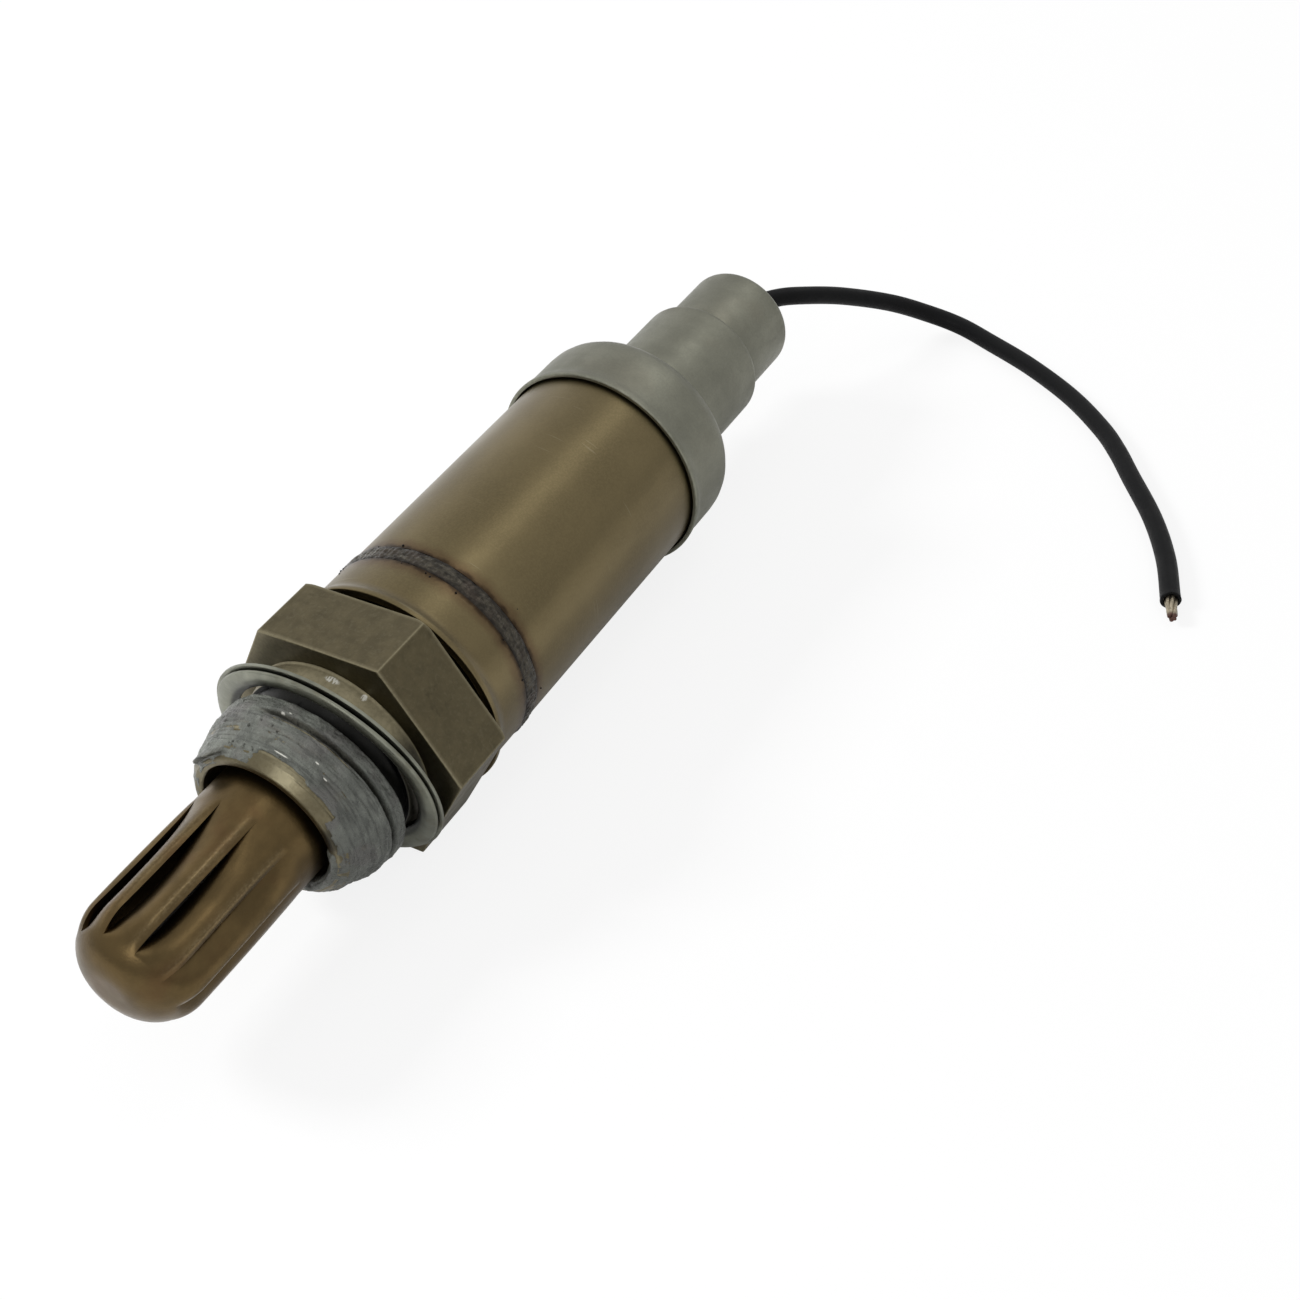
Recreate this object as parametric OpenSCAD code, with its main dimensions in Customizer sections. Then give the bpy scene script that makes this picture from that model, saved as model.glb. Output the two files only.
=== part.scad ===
// One-wire oxygen sensor for an exhaust pipe, lying on its side.
// X runs along the sensor's axis, from the probe (minus) to the cable (plus). Z is up.
// The origin is on the axis, at the gasket end of the thread. All sizes are in millimetres.

/* [Whole sensor] */
// Length from the gasket end of the thread to the end of the cap
body_len = 78.1; // [75.5:0.1:85]

/* [Threaded body] */
// Outside diameter of the thread
thread_d = 18; // [17:0.5:20]
// Length of the thread with its chamfer
thread_len = 6.2; // [5:0.1:8]
// Chamfer at the first turn of the thread
thread_chamfer = 0.8; // [0.3:0.1:1.2]
// Length over which the first turns of the thread taper down to that chamfer
thread_taper_len = 2; // [1:0.1:3]
// How much the radius shrinks over that length
thread_taper = 0.7; // [0.2:0.1:0.8]
// Diameter of the undercut behind the thread
neck_d = 16.4; // [16:0.2:16.8]
// Length of the undercut
neck_len = 2.3; // [2:0.1:4]
// Diameter of the plain shoulder that the gasket hangs on
boss_d = 17.4; // [17:0.1:19]
// Length of that shoulder, up to the hexagon
boss_len = 2.2; // [1.8:0.1:4]
// Width of the hexagon across its flats
hex_af = 22; // [21:0.5:24]
// Length of the hexagon
hex_len = 7; // [6:0.1:9]
// How much the chamfer on the hexagon's cable side takes off its corners
hex_chamfer = 0.5; // [0.3:0.1:1.5]
// Slope of that chamfer in degrees
hex_chamfer_slope = 30; // [20:1:40]
// Diameter of the counterbore round the probe
mouth_d = 13.2; // [12.6:0.1:15.2]
// Depth of the counterbore round the probe
mouth_depth = 4; // [2:0.5:4]
// Wall of the body round its inner chamber, at the neck
chamber_wall = 1.2; // [1.1:0.1:1.4]
// Start of the inner chamber, from the gasket end of the thread
chamber_start = 2; // [1.5:0.1:3]
// Length of the plain tail of the body behind the hexagon
tail_len = 13.5; // [12:0.1:16]
// Depth of the wide bore in the tail
tail_bore_depth = 8; // [6:0.5:9]

/* [Gasket] */
// Outside diameter of the folded gasket, at the sheet on the hexagon's side
gasket_d = 23.2; // [22.5:0.1:24.5]
// How much shorter the other sheet is at the outer edge
gasket_step = 0.35; // [0:0.05:0.6]
// Thickness of the folded gasket
gasket_t = 0.9; // [0.8:0.05:1.1]
// Thickness of the gasket's sheet
gasket_sheet = 0.38; // [0.2:0.02:0.38]
// Play between the gasket's fold and the shoulder, to a side
gasket_play = 0.25; // [0.2:0.05:0.5]
// Lean of the loose gasket in degrees
gasket_lean = 8.3; // [0:0.1:9]

/* [Probe tube] */
// Outside diameter of the probe tube
probe_d = 11.6; // [11:0.1:12]
// Sheet thickness of the probe tube
probe_wall = 0.4; // [0.3:0.05:0.5]
// Length of the probe tube in front of the thread
probe_reach = 19.3; // [18:0.1:26]
// Rounding of the probe's nose
nose_r = 4.4; // [3:0.1:5.2]
// Number of louvres round the probe
louvre_count = 10; // [6:1:11]
// Angle of the first louvre in degrees
louvre_start = 13; // [0:1:35]
// Length of a louvre
louvre_len = 15; // [10:0.5:16]
// How deep the pushed-in edge of a louvre lies
louvre_depth = 1.5; // [1:0.1:1.6]
// Slope of the pushed-in edge in degrees
louvre_slope = 23; // [20:1:30]
// Distance from the probe's tip to the louvres
louvre_setback = 1.3; // [0.5:0.1:3]

/* [Sleeves] */
// Gap between the hexagon and the short sleeve
groove_len = 0.7; // [0.6:0.1:2]
// Outside diameter of the short sleeve
collar_d = 21.5; // [21.3:0.1:22]
// Length of the short sleeve
collar_len = 5.2; // [4:0.1:8]
// How far the short sleeve's front rim is flared
rim_flare = 0.45; // [0.1:0.05:0.8]
// Outside diameter of the long sleeve
sleeve_d = 21.4; // [21.2:0.1:22]
// Wall of both sleeves
sleeve_wall = 0.8; // [0.5:0.1:1]
// Width of the weld bead
weld_len = 1.8; // [1:0.1:2.5]
// How far the weld bead stands proud of the long sleeve
weld_crown = 0.25; // [0.1:0.05:0.4]

/* [Cable cap] */
// Sheet thickness of the cap's skirt
skirt_wall = 0.35; // [0.2:0.05:0.6]
// Length of the cap's skirt
skirt_len = 8.4; // [7:0.1:12]
// How far the skirt's edge is flared
lip_flare = 0.22; // [0:0.02:0.5]
// Length of the flared edge
lip_len = 1.3; // [0.6:0.1:2]
// Rounding of the cap's shoulder
shoulder_r = 3; // [1.5:0.1:3]
// Diameter of the first neck
neck1_d = 13.8; // [13:0.1:15]
// Length of the first neck
neck1_len = 12.9; // [11:0.1:16]
// Diameter of the second neck
neck2_d = 11.8; // [10:0.1:12]
// Length of the second neck
neck2_len = 9.2; // [8:0.2:12]
// Wall of both necks
neck_wall = 0.5; // [0.4:0.05:0.7]
// Rounding of the necks' outer edges
neck_edge_r = 1; // [0.6:0.1:1.2]
// Diameter of the hole that the lead leaves by
cable_hole_d = 5; // [4:0.1:6]

/* [Sensing element] */
// Distance from the probe's tip to the tip of the ceramic thimble
thimble_setback = 3; // [2:0.2:4]
// Diameter of the thimble's tip
thimble_tip_d = 5.6; // [5:0.1:6]
// Diameter of the thimble where it leaves the louvres
thimble_mid_d = 6.8; // [6.4:0.1:7.4]
// Diameter of the thimble under its shoulder
thimble_root_d = 8.8; // [8:0.1:9]
// Wall of the thimble at its tip
thimble_wall = 1.1; // [0.8:0.1:1.4]
// Length of the thimble's shoulder
thimble_shoulder = 4.5; // [3:0.1:6]
// Diameter of the thimble behind its shoulder
thimble_tail_d = 10.4; // [9.6:0.1:11]
// Bore of the thimble's open end
thimble_bore = 6; // [5.4:0.1:6.4]
// Thickness of the sealing ring under the shoulder
seat_ring_t = 0.6; // [0.4:0.1:1]
// Length of the pressed powder ring
powder_len = 5; // [4:0.2:6]
// Thickness of the steel ring on the powder
packing_t = 1; // [0.6:0.1:1.4]
// Length of the thimble's tail behind the steel ring
thimble_tail = 5.5; // [4:0.1:6]
// Length of the thimble's straight part under its shoulder
thimble_root_len = 1.4; // [0.5:0.1:3]

/* [Contact stack] */
// Length of the support ceramic
ceramic_len = 20.5; // [18:0.5:22]
// Bore of the support ceramic for the rod
ceramic_bore = 4; // [3:0.1:5]
// Sheet thickness of the contact bush's rim
bush_rim_t = 0.4; // [0.3:0.05:0.8]
// Length of the contact bush inside the thimble
bush_len = 5; // [3:0.2:6]
// Gap between the contact bush and the bottom of its bore
bush_gap = 1; // [0.5:0.1:2]
// Diameter of the contact rod
rod_d = 1.8; // [1.2:0.1:2.2]
// Height of the disc spring
spring_h = 1.2; // [0.9:0.1:1.6]
// Sheet thickness of the disc spring
spring_t = 0.5; // [0.3:0.05:0.6]
// Hole of the disc spring and of the retainer
spring_hole_d = 5.2; // [4.6:0.1:6]
// Sheet thickness of the spring retainer
retainer_wall = 0.6; // [0.4:0.1:0.8]
// Diameter of the crimp terminal
terminal_d = 4; // [3.6:0.1:4.6]
// Length of the crimp terminal
terminal_len = 13; // [10:0.5:14]
// Depth of the terminal's bore for the rod
terminal_rod_depth = 3; // [2:0.5:4]
// Depth of the terminal's bore for the lead
terminal_lead_depth = 5; // [3:0.5:6]
// Gap between the spring retainer and the terminal
terminal_gap = 0.7; // [0.5:0.1:2]
// Distance from the insulator's wide part to the end of the long sleeve
insulator_setback = 0.6; // [0.4:0.1:2]
// Diameter of the insulator's nose
insulator_nose_d = 7.8; // [6:0.1:9]
// Length of the vent filter in the cap's neck
filter_len = 8; // [6:0.5:8.5]
// Length of the grommet's flange
grommet_flange = 2; // [1:0.1:3]
// How far the grommet's lip stands out of the cap
grommet_lip = 0.4; // [0.2:0.1:1]

/* [Lead] */
// Diameter over the lead's insulation
lead_d = 2; // [1.6:0.1:2.4]
// Diameter of one strand
strand_d = 0.5; // [0.3:0.05:0.6]
// Length of the bare strands
strand_len = 3.2; // [2:0.2:6]
// Distance between neighbouring strands, as a share of their diameter
strand_packing = 0.9; // [0.8:0.02:0.98]

/* [Fits] */
// Radial gap between pieces that are pushed together
slip = 0.05; // [0.02:0.01:0.08]
// Radial gap between pieces that lie loosely
play = 0.1; // [0.05:0.01:0.15]

/* [Hidden] */

$fn = 96;
arc_steps = 8;
// How far a cutting body runs past the face that it cuts
cut = 1;

// Stations along the axis
thread_end = -thread_len;
taper_end = thread_end + thread_chamfer;
seat_x = neck_len;
hex_x = seat_x + boss_len;
hex_end = hex_x + hex_len;
tail_end = hex_end + tail_len;
collar_x = hex_end + groove_len;
weld_x = collar_x + collar_len;
sleeve_x = weld_x + weld_len;
cap_end = body_len;
neck1_end = cap_end - neck2_len;
shoulder_x = neck1_end - neck1_len;
cap_x = shoulder_x - skirt_len;
exit_x = cap_end + grommet_lip;
probe_tip = thread_end - probe_reach;

// Radii of the pieces that fit in each other
taper_r = thread_d / 2 - thread_taper;
face_r = max(taper_r - thread_chamfer, mouth_d / 2 + 0.3);
chamber_r = neck_d / 2 - chamber_wall;
stack_r = chamber_r - play;
throat_r = probe_d / 2 + play;
tail_r = sleeve_d / 2 - sleeve_wall - slip;
retainer_r = stack_r + retainer_wall + 2 * play;
skirt_in = sleeve_d / 2 + slip;
skirt_out = skirt_in + skirt_wall;
neck1_in = neck1_d / 2 - neck_wall;
neck2_in = neck2_d / 2 - neck_wall;
lead_bore_r = lead_d / 2 + slip;

// Stations of the stack inside the body
flange_end = chamber_start + probe_wall;
shoulder_start = flange_end + seat_ring_t;
shoulder_end = shoulder_start + thimble_shoulder;
powder_end = shoulder_end + powder_len;
packing_end = powder_end + packing_t;
thimble_end = packing_end + thimble_tail;
bush_end = thimble_end + bush_rim_t;
ceramic_end = packing_end + ceramic_len;
spring_end = ceramic_end + spring_h;
retainer_end = spring_end + retainer_wall;
terminal_x = retainer_end + terminal_gap;
terminal_end = terminal_x + terminal_len;
sleeve_end = shoulder_x - shoulder_r - 3 * play;
insulator_end = sleeve_end - insulator_setback;
filter_end = neck1_end - neck_wall - grommet_flange;
filter_x = filter_end - filter_len;
tail_bore_x = tail_end - tail_bore_depth;

// The gasket and the cap's flared edge rest on the table, and so does the lead
gasket_drop = gasket_d / 2 * cos(gasket_lean) + gasket_t / 2 * sin(gasket_lean);
table_drop = max(gasket_drop, skirt_out + lip_flare);

// Route of the free lead: each point's distance past the cap, its place in Y, and the share of
// the drop to the table that it has come down. It lies on the table from its ninth point on.
lead_route = [
    [0, 0, 0], [2.5, -0.2, 0], [5, -1.6, 0.02], [7.4, -3.5, 0.08], [12, -6.2, 0.28],
    [17.3, -9.8, 0.58], [20.4, -13.3, 0.82], [21.3, -17, 0.95], [20.1, -21.2, 1],
    [17.2, -27.3, 1], [13.3, -33.6, 1], [9, -38.7, 1], [5.7, -41.7, 1],
    [2, -44.5, 1], [-3.8, -48.9, 1], [-9.4, -52.2, 1], [-15, -54.6, 1]];
lead_sides = 8;
lead_steps = 2;

// Points of an arc in the plane of station and radius, about centre c, from angle a0 to angle a1
function arc(c, r, a0, a1) =
    [for (i = [0:arc_steps]) let (a = a0 + (a1 - a0) * i / arc_steps)
        [c[0] + r * cos(a), c[1] + r * sin(a)]];

// A body turned about the X axis from points of station and radius
module turned(points) {
    rotate([0, 90, 0]) rotate_extrude() polygon([for (p = points) [p[1], p[0]]]);
}

// A straight rod along X, and a straight tube
module rod(x0, x1, r) {
    translate([x0, 0, 0]) rotate([0, 90, 0]) cylinder(r = r, h = x1 - x0);
}

module tube(x0, x1, r_out, r_in) {
    turned([[x0, r_in], [x1, r_in], [x1, r_out], [x0, r_out]]);
}

// Hexagonal prism with its flats up and down, its cable side chamfered by a cone
module hexagon() {
    corner_r = hex_af / 2 / cos(30);
    chamfer_r = corner_r - hex_chamfer;
    chamfer_x = hex_chamfer * tan(hex_chamfer_slope);
    intersection() {
        translate([hex_x, 0, 0]) rotate([90, 0, 90])
            linear_extrude(hex_len) circle(r = corner_r, $fn = 6);
        turned([[hex_x, 0], [hex_end, 0], [hex_end, chamfer_r],
                [hex_end - chamfer_x, corner_r], [hex_end - chamfer_x, corner_r + cut],
                [hex_x, corner_r + cut]]);
    }
}

module shell() {
    color("#8a866c") difference() {
        union() {
            turned([[thread_end, 0], [thread_end, face_r], [taper_end, taper_r],
                    [taper_end + thread_taper_len, thread_d / 2], [0, thread_d / 2],
                    [0, neck_d / 2], [seat_x, neck_d / 2], [seat_x, boss_d / 2],
                    [hex_x, boss_d / 2], [hex_x, tail_r], [tail_end, tail_r], [tail_end, 0]]);
            hexagon();
        }
        rod(thread_end - cut, thread_end + mouth_depth, mouth_d / 2);
        rod(thread_end, chamber_start + cut, throat_r);
        rod(chamber_start, tail_end + cut, chamber_r);
        rod(tail_bore_x, tail_end + cut, retainer_r + slip);
    }
}

// Folded ring: two sheets joined by a round fold at the shoulder, open at the outer edge. It
// leans with its lowest edge against the hexagon.
module seal_gasket() {
    r_out = gasket_d / 2;
    r_in = boss_d / 2 + gasket_play;
    half = gasket_t / 2;
    slit = half - gasket_sheet;
    slit_end = r_in + 2 * gasket_sheet;
    rest_r = min(gasket_d, hex_af) / 2;
    lean_x = hex_x - play - half * cos(gasket_lean) - rest_r * sin(gasket_lean);
    color("#8f9496") translate([lean_x, 0, 0]) rotate([0, -gasket_lean, 0]) turned(concat(
        [[half, r_out], [slit, r_out], [slit, slit_end], [-slit, slit_end],
         [-slit, r_out - gasket_step], [-half, r_out - gasket_step]],
        arc([0, r_in + half], half, 180, 360)));
}

// Outline of the probe tube, shrunk by a wall, closed at the axis
function probe_outline(wall) =
    concat([[probe_tip + wall, 0]],
           arc([probe_tip + nose_r, probe_d / 2 - nose_r], nose_r - wall, 180, 90),
           [[chamber_start, probe_d / 2 - wall], [chamber_start, 0]]);

louvre_r = (pow(louvre_len / 2, 2) + pow(louvre_depth, 2)) / (2 * louvre_depth);
louvre_x = probe_tip + louvre_setback + louvre_len / 2;

// Space over the pushed-in edge of one louvre: a large cylinder that crosses the tube, sloped
// away from the slit, and cut off square at the slit. A thicker one also holds the sheet.
module louvre_space(sheet) {
    reach = probe_d / 3;
    intersection() {
        translate([louvre_x, 0, probe_d / 2 - louvre_depth]) rotate([-louvre_slope, 0, 0])
            translate([0, cut, louvre_r]) rotate([90, 0, 0])
                cylinder(r = louvre_r + sheet, h = reach + cut);
        translate([louvre_x - louvre_len, -reach, 0])
            cube([2 * louvre_len, reach, 2 * louvre_r]);
    }
}

module each_louvre() {
    for (i = [0:louvre_count - 1])
        rotate([louvre_start - 90 + i * 360 / louvre_count, 0, 0]) children();
}

module protection_tube() {
    color("#8b7550") union() {
        difference() {
            turned(probe_outline(0));
            turned(probe_outline(probe_wall));
            each_louvre() louvre_space(0);
        }
        intersection() {
            turned(probe_outline(0));
            each_louvre() difference() {
                louvre_space(probe_wall);
                louvre_space(0);
            }
        }
        tube(chamber_start, flange_end, stack_r, probe_d / 2 - probe_wall);
    }
}

module seat_ring() {
    color("#b0a890") tube(flange_end, shoulder_start, stack_r, thimble_root_d / 2 + play);
}

// Closed ceramic thimble with a shoulder, open at its cable end
module thimble() {
    tip_x = probe_tip + thimble_setback;
    tip_r = thimble_tip_d / 2;
    bore_tip = tip_r - thimble_wall;
    bore_x = thimble_end - bush_len - bush_gap;
    color("#e8e4dc") turned(concat(
        arc([tip_x + tip_r, 0], tip_r, 180, 90),
        [[thread_end, thimble_mid_d / 2], [flange_end - thimble_root_len, thimble_root_d / 2],
         [shoulder_start, thimble_root_d / 2], [shoulder_start, stack_r],
         [shoulder_end, stack_r], [shoulder_end, thimble_tail_d / 2],
         [thimble_end, thimble_tail_d / 2], [thimble_end, thimble_bore / 2],
         [bore_x, thimble_bore / 2], [thread_end, thimble_mid_d / 2 - thimble_wall]],
        arc([tip_x + tip_r, 0], bore_tip, 90, 180)));
}

module powder_ring() {
    color("#d9d2c4") tube(shoulder_end, powder_end, stack_r, thimble_tail_d / 2 + slip);
}

module packing_ring() {
    color("#a8a8a4") tube(powder_end, packing_end, stack_r, thimble_tail_d / 2 + slip);
}

// Ceramic tube: a wide bore over the thimble's open end, then a small bore for the rod
module support_ceramic() {
    color("#f0ece2") difference() {
        rod(packing_end, ceramic_end, stack_r);
        rod(packing_end - cut, bush_end, thimble_tail_d / 2 + slip);
        rod(packing_end, ceramic_end + cut, ceramic_bore / 2);
    }
}

// Plug in the thimble's bore, with a rim that the ceramic presses on the thimble's end
module contact_bush() {
    plug_r = thimble_bore / 2 - slip;
    rim_r = thimble_tail_d / 2 - play;
    color("#c8b27a") union() {
        rod(thimble_end - bush_len, bush_end, plug_r);
        rod(thimble_end, bush_end, rim_r);
    }
}

module contact_rod() {
    color("#c8b27a") rod(bush_end, terminal_x + terminal_rod_depth, rod_d / 2);
}

// Coned spring washer between the ceramic's end and the retainer
module disc_spring() {
    r_in = spring_hole_d / 2;
    color("#9a9a96") turned([
        [ceramic_end, stack_r - spring_t], [ceramic_end, stack_r],
        [ceramic_end + spring_t, stack_r], [spring_end, r_in + spring_t],
        [spring_end, r_in], [spring_end - spring_t, r_in]]);
}

// Drawn cup over the stack, seated in the body's tail, with a turned-in end over the spring
module spring_retainer() {
    inner_r = retainer_r - retainer_wall;
    color("#9c9c98") turned([
        [tail_bore_x, inner_r], [spring_end, inner_r], [spring_end, spring_hole_d / 2],
        [retainer_end, spring_hole_d / 2], [retainer_end, retainer_r],
        [tail_bore_x, retainer_r]]);
}

// Short sleeve with a flared front rim
module collar_sleeve() {
    r_in = tail_r + slip;
    r_out = collar_d / 2;
    color("#9a8560") turned([
        [collar_x, r_in + rim_flare], [collar_x, r_out + rim_flare],
        [collar_x + rim_flare, r_out + rim_flare], [collar_x + 3 * rim_flare, r_out],
        [weld_x, r_out], [weld_x, r_in], [collar_x + 3 * rim_flare, r_in]]);
}

// Ring of weld that fills the gap between the two sleeves, crowned on the outside
module weld_bead() {
    half = weld_len / 2;
    crown_r = (half * half + weld_crown * weld_crown) / (2 * weld_crown);
    top_r = sleeve_d / 2 + weld_crown;
    spread = asin(half / crown_r);
    color("#5d5a55") turned(concat(
        [[weld_x, tail_r + slip], [sleeve_x, tail_r + slip]],
        arc([weld_x + half, top_r - crown_r], crown_r, 90 - spread, 90 + spread)));
}

module sleeve() {
    color("#8c7a55") tube(sleeve_x, sleeve_end, sleeve_d / 2, tail_r + slip);
}

// Insulating bush: wide in the sleeve, then a nose that reaches the grommet
module insulator() {
    wide_r = tail_r + slip - play;
    color("#ddd6c6") difference() {
        union() {
            rod(retainer_end, insulator_end, wide_r);
            rod(insulator_end, filter_end, insulator_nose_d / 2);
        }
        rod(retainer_end - cut, terminal_end + play, terminal_d / 2 + play);
        rod(terminal_end, filter_end + cut, lead_bore_r + play);
    }
}

// Crimp terminal, bored at one end for the rod and at the other for the lead
module terminal() {
    color("#cdbb8a") difference() {
        rod(terminal_x, terminal_end, terminal_d / 2);
        rod(terminal_x - cut, terminal_x + terminal_rod_depth, rod_d / 2 + slip);
        rod(terminal_end - terminal_lead_depth, terminal_end + cut, lead_bore_r);
    }
}

module vent_filter() {
    color("#f4f4f0")
        tube(filter_x, filter_end, neck1_in - play, insulator_nose_d / 2 + play);
}

// Stepped cap: flared edge, skirt, round shoulder and two necks, drawn from one sheet
module end_cap() {
    neck1_r = neck1_d / 2;
    neck2_r = neck2_d / 2;
    in_r = shoulder_r - skirt_wall;
    step_edge_r = min(neck_edge_r, neck1_r - neck2_r - play);
    outside = concat(
        [[cap_x, skirt_out + lip_flare], [cap_x + lip_len / 2, skirt_out + lip_flare / 2],
         [cap_x + lip_len, skirt_out]],
        arc([shoulder_x - shoulder_r, skirt_out - shoulder_r], shoulder_r, 90, 0),
        [[shoulder_x, neck1_r]],
        arc([neck1_end - step_edge_r, neck1_r - step_edge_r], step_edge_r, 90, 0),
        [[neck1_end, neck2_r]],
        arc([cap_end - neck_edge_r, neck2_r - neck_edge_r], neck_edge_r, 90, 0),
        [[cap_end, cable_hole_d / 2]]);
    inside = concat(
        [[cap_end - neck_wall, cable_hole_d / 2], [cap_end - neck_wall, neck2_in],
         [neck1_end - neck_wall, neck2_in], [neck1_end - neck_wall, neck1_in],
         [shoulder_x - skirt_wall, neck1_in]],
        arc([shoulder_x - shoulder_r, skirt_out - shoulder_r], in_r, 0, 90),
        [[cap_x + lip_len, skirt_in], [cap_x + lip_len / 2, skirt_in + lip_flare / 2],
         [cap_x, skirt_in + lip_flare]]);
    color("#a3a698") turned(concat(outside, inside));
}

// Rubber seal in the second neck, with a flange behind it and a lip in the cap's hole
module grommet() {
    color("#2b2b2c") difference() {
        union() {
            rod(filter_end, neck1_end - neck_wall, neck1_in - play);
            rod(neck1_end - neck_wall, cap_end - neck_wall, neck2_in - play);
            rod(cap_end - neck_wall, exit_x, cable_hole_d / 2 - play);
        }
        rod(filter_end - cut, exit_x + cut, lead_bore_r);
    }
}

module inner_lead() {
    color("#232527") rod(terminal_end - terminal_lead_depth, exit_x, lead_d / 2);
}

// Point i of the route, and the smooth line through the points
function route_point(i) = let (p = lead_route[max(0, min(len(lead_route) - 1, i))])
    [exit_x + p[0], p[1], -p[2] * (table_drop - lead_d / 2)];
function spline(a, b, c, d, t) =
    0.5 * (2 * b + (c - a) * t + (2 * a - 5 * b + 4 * c - d) * t * t
           + (3 * b - a - 3 * c + d) * t * t * t);
lead_line = [for (i = [0:len(lead_route) - 2], k = [0:lead_steps - 1])
                 spline(route_point(i - 1), route_point(i), route_point(i + 1),
                        route_point(i + 2), k / lead_steps),
             route_point(len(lead_route) - 1)];

function unit(v) = v / norm(v);
function heading(i) = i == 0 ? [1, 0, 0]
    : unit(lead_line[min(len(lead_line) - 1, i + 1)] - lead_line[i - 1]);

// Ring of points round the line at point i, square to its heading, first point upwards
function lead_ring(i) = let (h = heading(i), side = unit(cross([0, 0, 1], h)), up = cross(h, side))
    [for (k = [0:lead_sides - 1]) let (a = 360 * k / lead_sides)
        lead_line[i] + lead_d / 2 * (up * cos(a) + side * sin(a))];

// Free part of the lead, swept along its line
module lead_insulation() {
    rings = len(lead_line);
    last = (rings - 1) * lead_sides;
    points = [for (i = [0:rings - 1]) each lead_ring(i)];
    walls = [for (i = [0:rings - 2], k = [0:lead_sides - 1])
        let (a = i * lead_sides + k, b = i * lead_sides + (k + 1) % lead_sides)
            [a, b, b + lead_sides, a + lead_sides]];
    ends = [[for (k = [0:lead_sides - 1]) lead_sides - 1 - k],
            [for (k = [0:lead_sides - 1]) last + k]];
    color("#232527") polyhedron(points, concat(walls, ends), convexity = 10);
}

// Seven twisted strands that stand out of the cut end, drawn as straight touching wires
module lead_strands() {
    end = len(lead_line) - 1;
    h = heading(end);
    turn = atan2(h[1], h[0]);
    pitch = strand_d * strand_packing;
    color("#b8ae98") translate(lead_line[end]) rotate([0, 90, turn]) union() {
        cylinder(d = strand_d, h = strand_len, $fn = 24);
        for (k = [0:5]) rotate(60 * k) translate([pitch, 0, 0])
            cylinder(d = strand_d, h = strand_len, $fn = 24);
    }
}

shell();
seal_gasket();
protection_tube();
seat_ring();
thimble();
powder_ring();
packing_ring();
support_ceramic();
contact_bush();
contact_rod();
disc_spring();
spring_retainer();
collar_sleeve();
weld_bead();
sleeve();
insulator();
terminal();
vent_filter();
end_cap();
grommet();
inner_lead();
lead_insulation();
lead_strands();
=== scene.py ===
"""Exhaust oxygen sensor on a pale table.

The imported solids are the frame: every piece made here lies where its solid does. Lengths in the
properties are in metres, and the surfaces are worked out in millimetres. X runs along the sensor's
axis from the probe to the cable, Z is up, and an angle round the axis runs from +Y towards +Z.
"""

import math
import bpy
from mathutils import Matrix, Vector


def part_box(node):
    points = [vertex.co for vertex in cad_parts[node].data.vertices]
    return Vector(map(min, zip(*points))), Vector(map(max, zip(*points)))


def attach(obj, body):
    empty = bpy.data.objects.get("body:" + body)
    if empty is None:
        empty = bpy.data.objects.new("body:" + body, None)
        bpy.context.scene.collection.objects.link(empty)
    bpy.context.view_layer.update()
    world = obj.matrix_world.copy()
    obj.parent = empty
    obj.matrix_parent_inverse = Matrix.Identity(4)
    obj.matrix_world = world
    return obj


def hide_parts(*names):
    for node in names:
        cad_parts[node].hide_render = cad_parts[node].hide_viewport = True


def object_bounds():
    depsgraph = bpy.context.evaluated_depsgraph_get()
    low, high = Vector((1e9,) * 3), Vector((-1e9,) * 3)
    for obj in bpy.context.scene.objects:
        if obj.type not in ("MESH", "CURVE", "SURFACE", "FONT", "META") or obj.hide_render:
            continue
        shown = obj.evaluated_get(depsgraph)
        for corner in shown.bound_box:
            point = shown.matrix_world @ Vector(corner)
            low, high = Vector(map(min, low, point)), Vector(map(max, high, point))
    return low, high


bl_info = {
    "name": "Oxygen sensor",
    "version": (1, 0, 0),
    "blender": (4, 5, 0),
    "location": "3D View > Sidebar > Sensor",
    "description": "Thread, paste, louvres, weld and finishes for the sensor's solids",
    "category": "Object",
}

from types import SimpleNamespace

import bmesh
import bpy
import numpy as np
from bpy.props import FloatProperty, FloatVectorProperty, IntProperty, PointerProperty
from mathutils import Matrix

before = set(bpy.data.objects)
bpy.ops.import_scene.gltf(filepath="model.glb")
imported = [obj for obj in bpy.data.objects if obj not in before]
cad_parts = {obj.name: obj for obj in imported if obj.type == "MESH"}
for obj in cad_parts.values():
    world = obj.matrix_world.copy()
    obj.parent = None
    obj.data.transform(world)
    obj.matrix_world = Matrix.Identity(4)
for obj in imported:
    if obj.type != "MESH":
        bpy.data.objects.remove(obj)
CAD_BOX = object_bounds()
MM = 0.001
TURN = 2 * np.pi
MERGED = 2e-7  # metres: points that lie nearer than this become one
WHITE = (1, 1, 1, 1)

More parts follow.
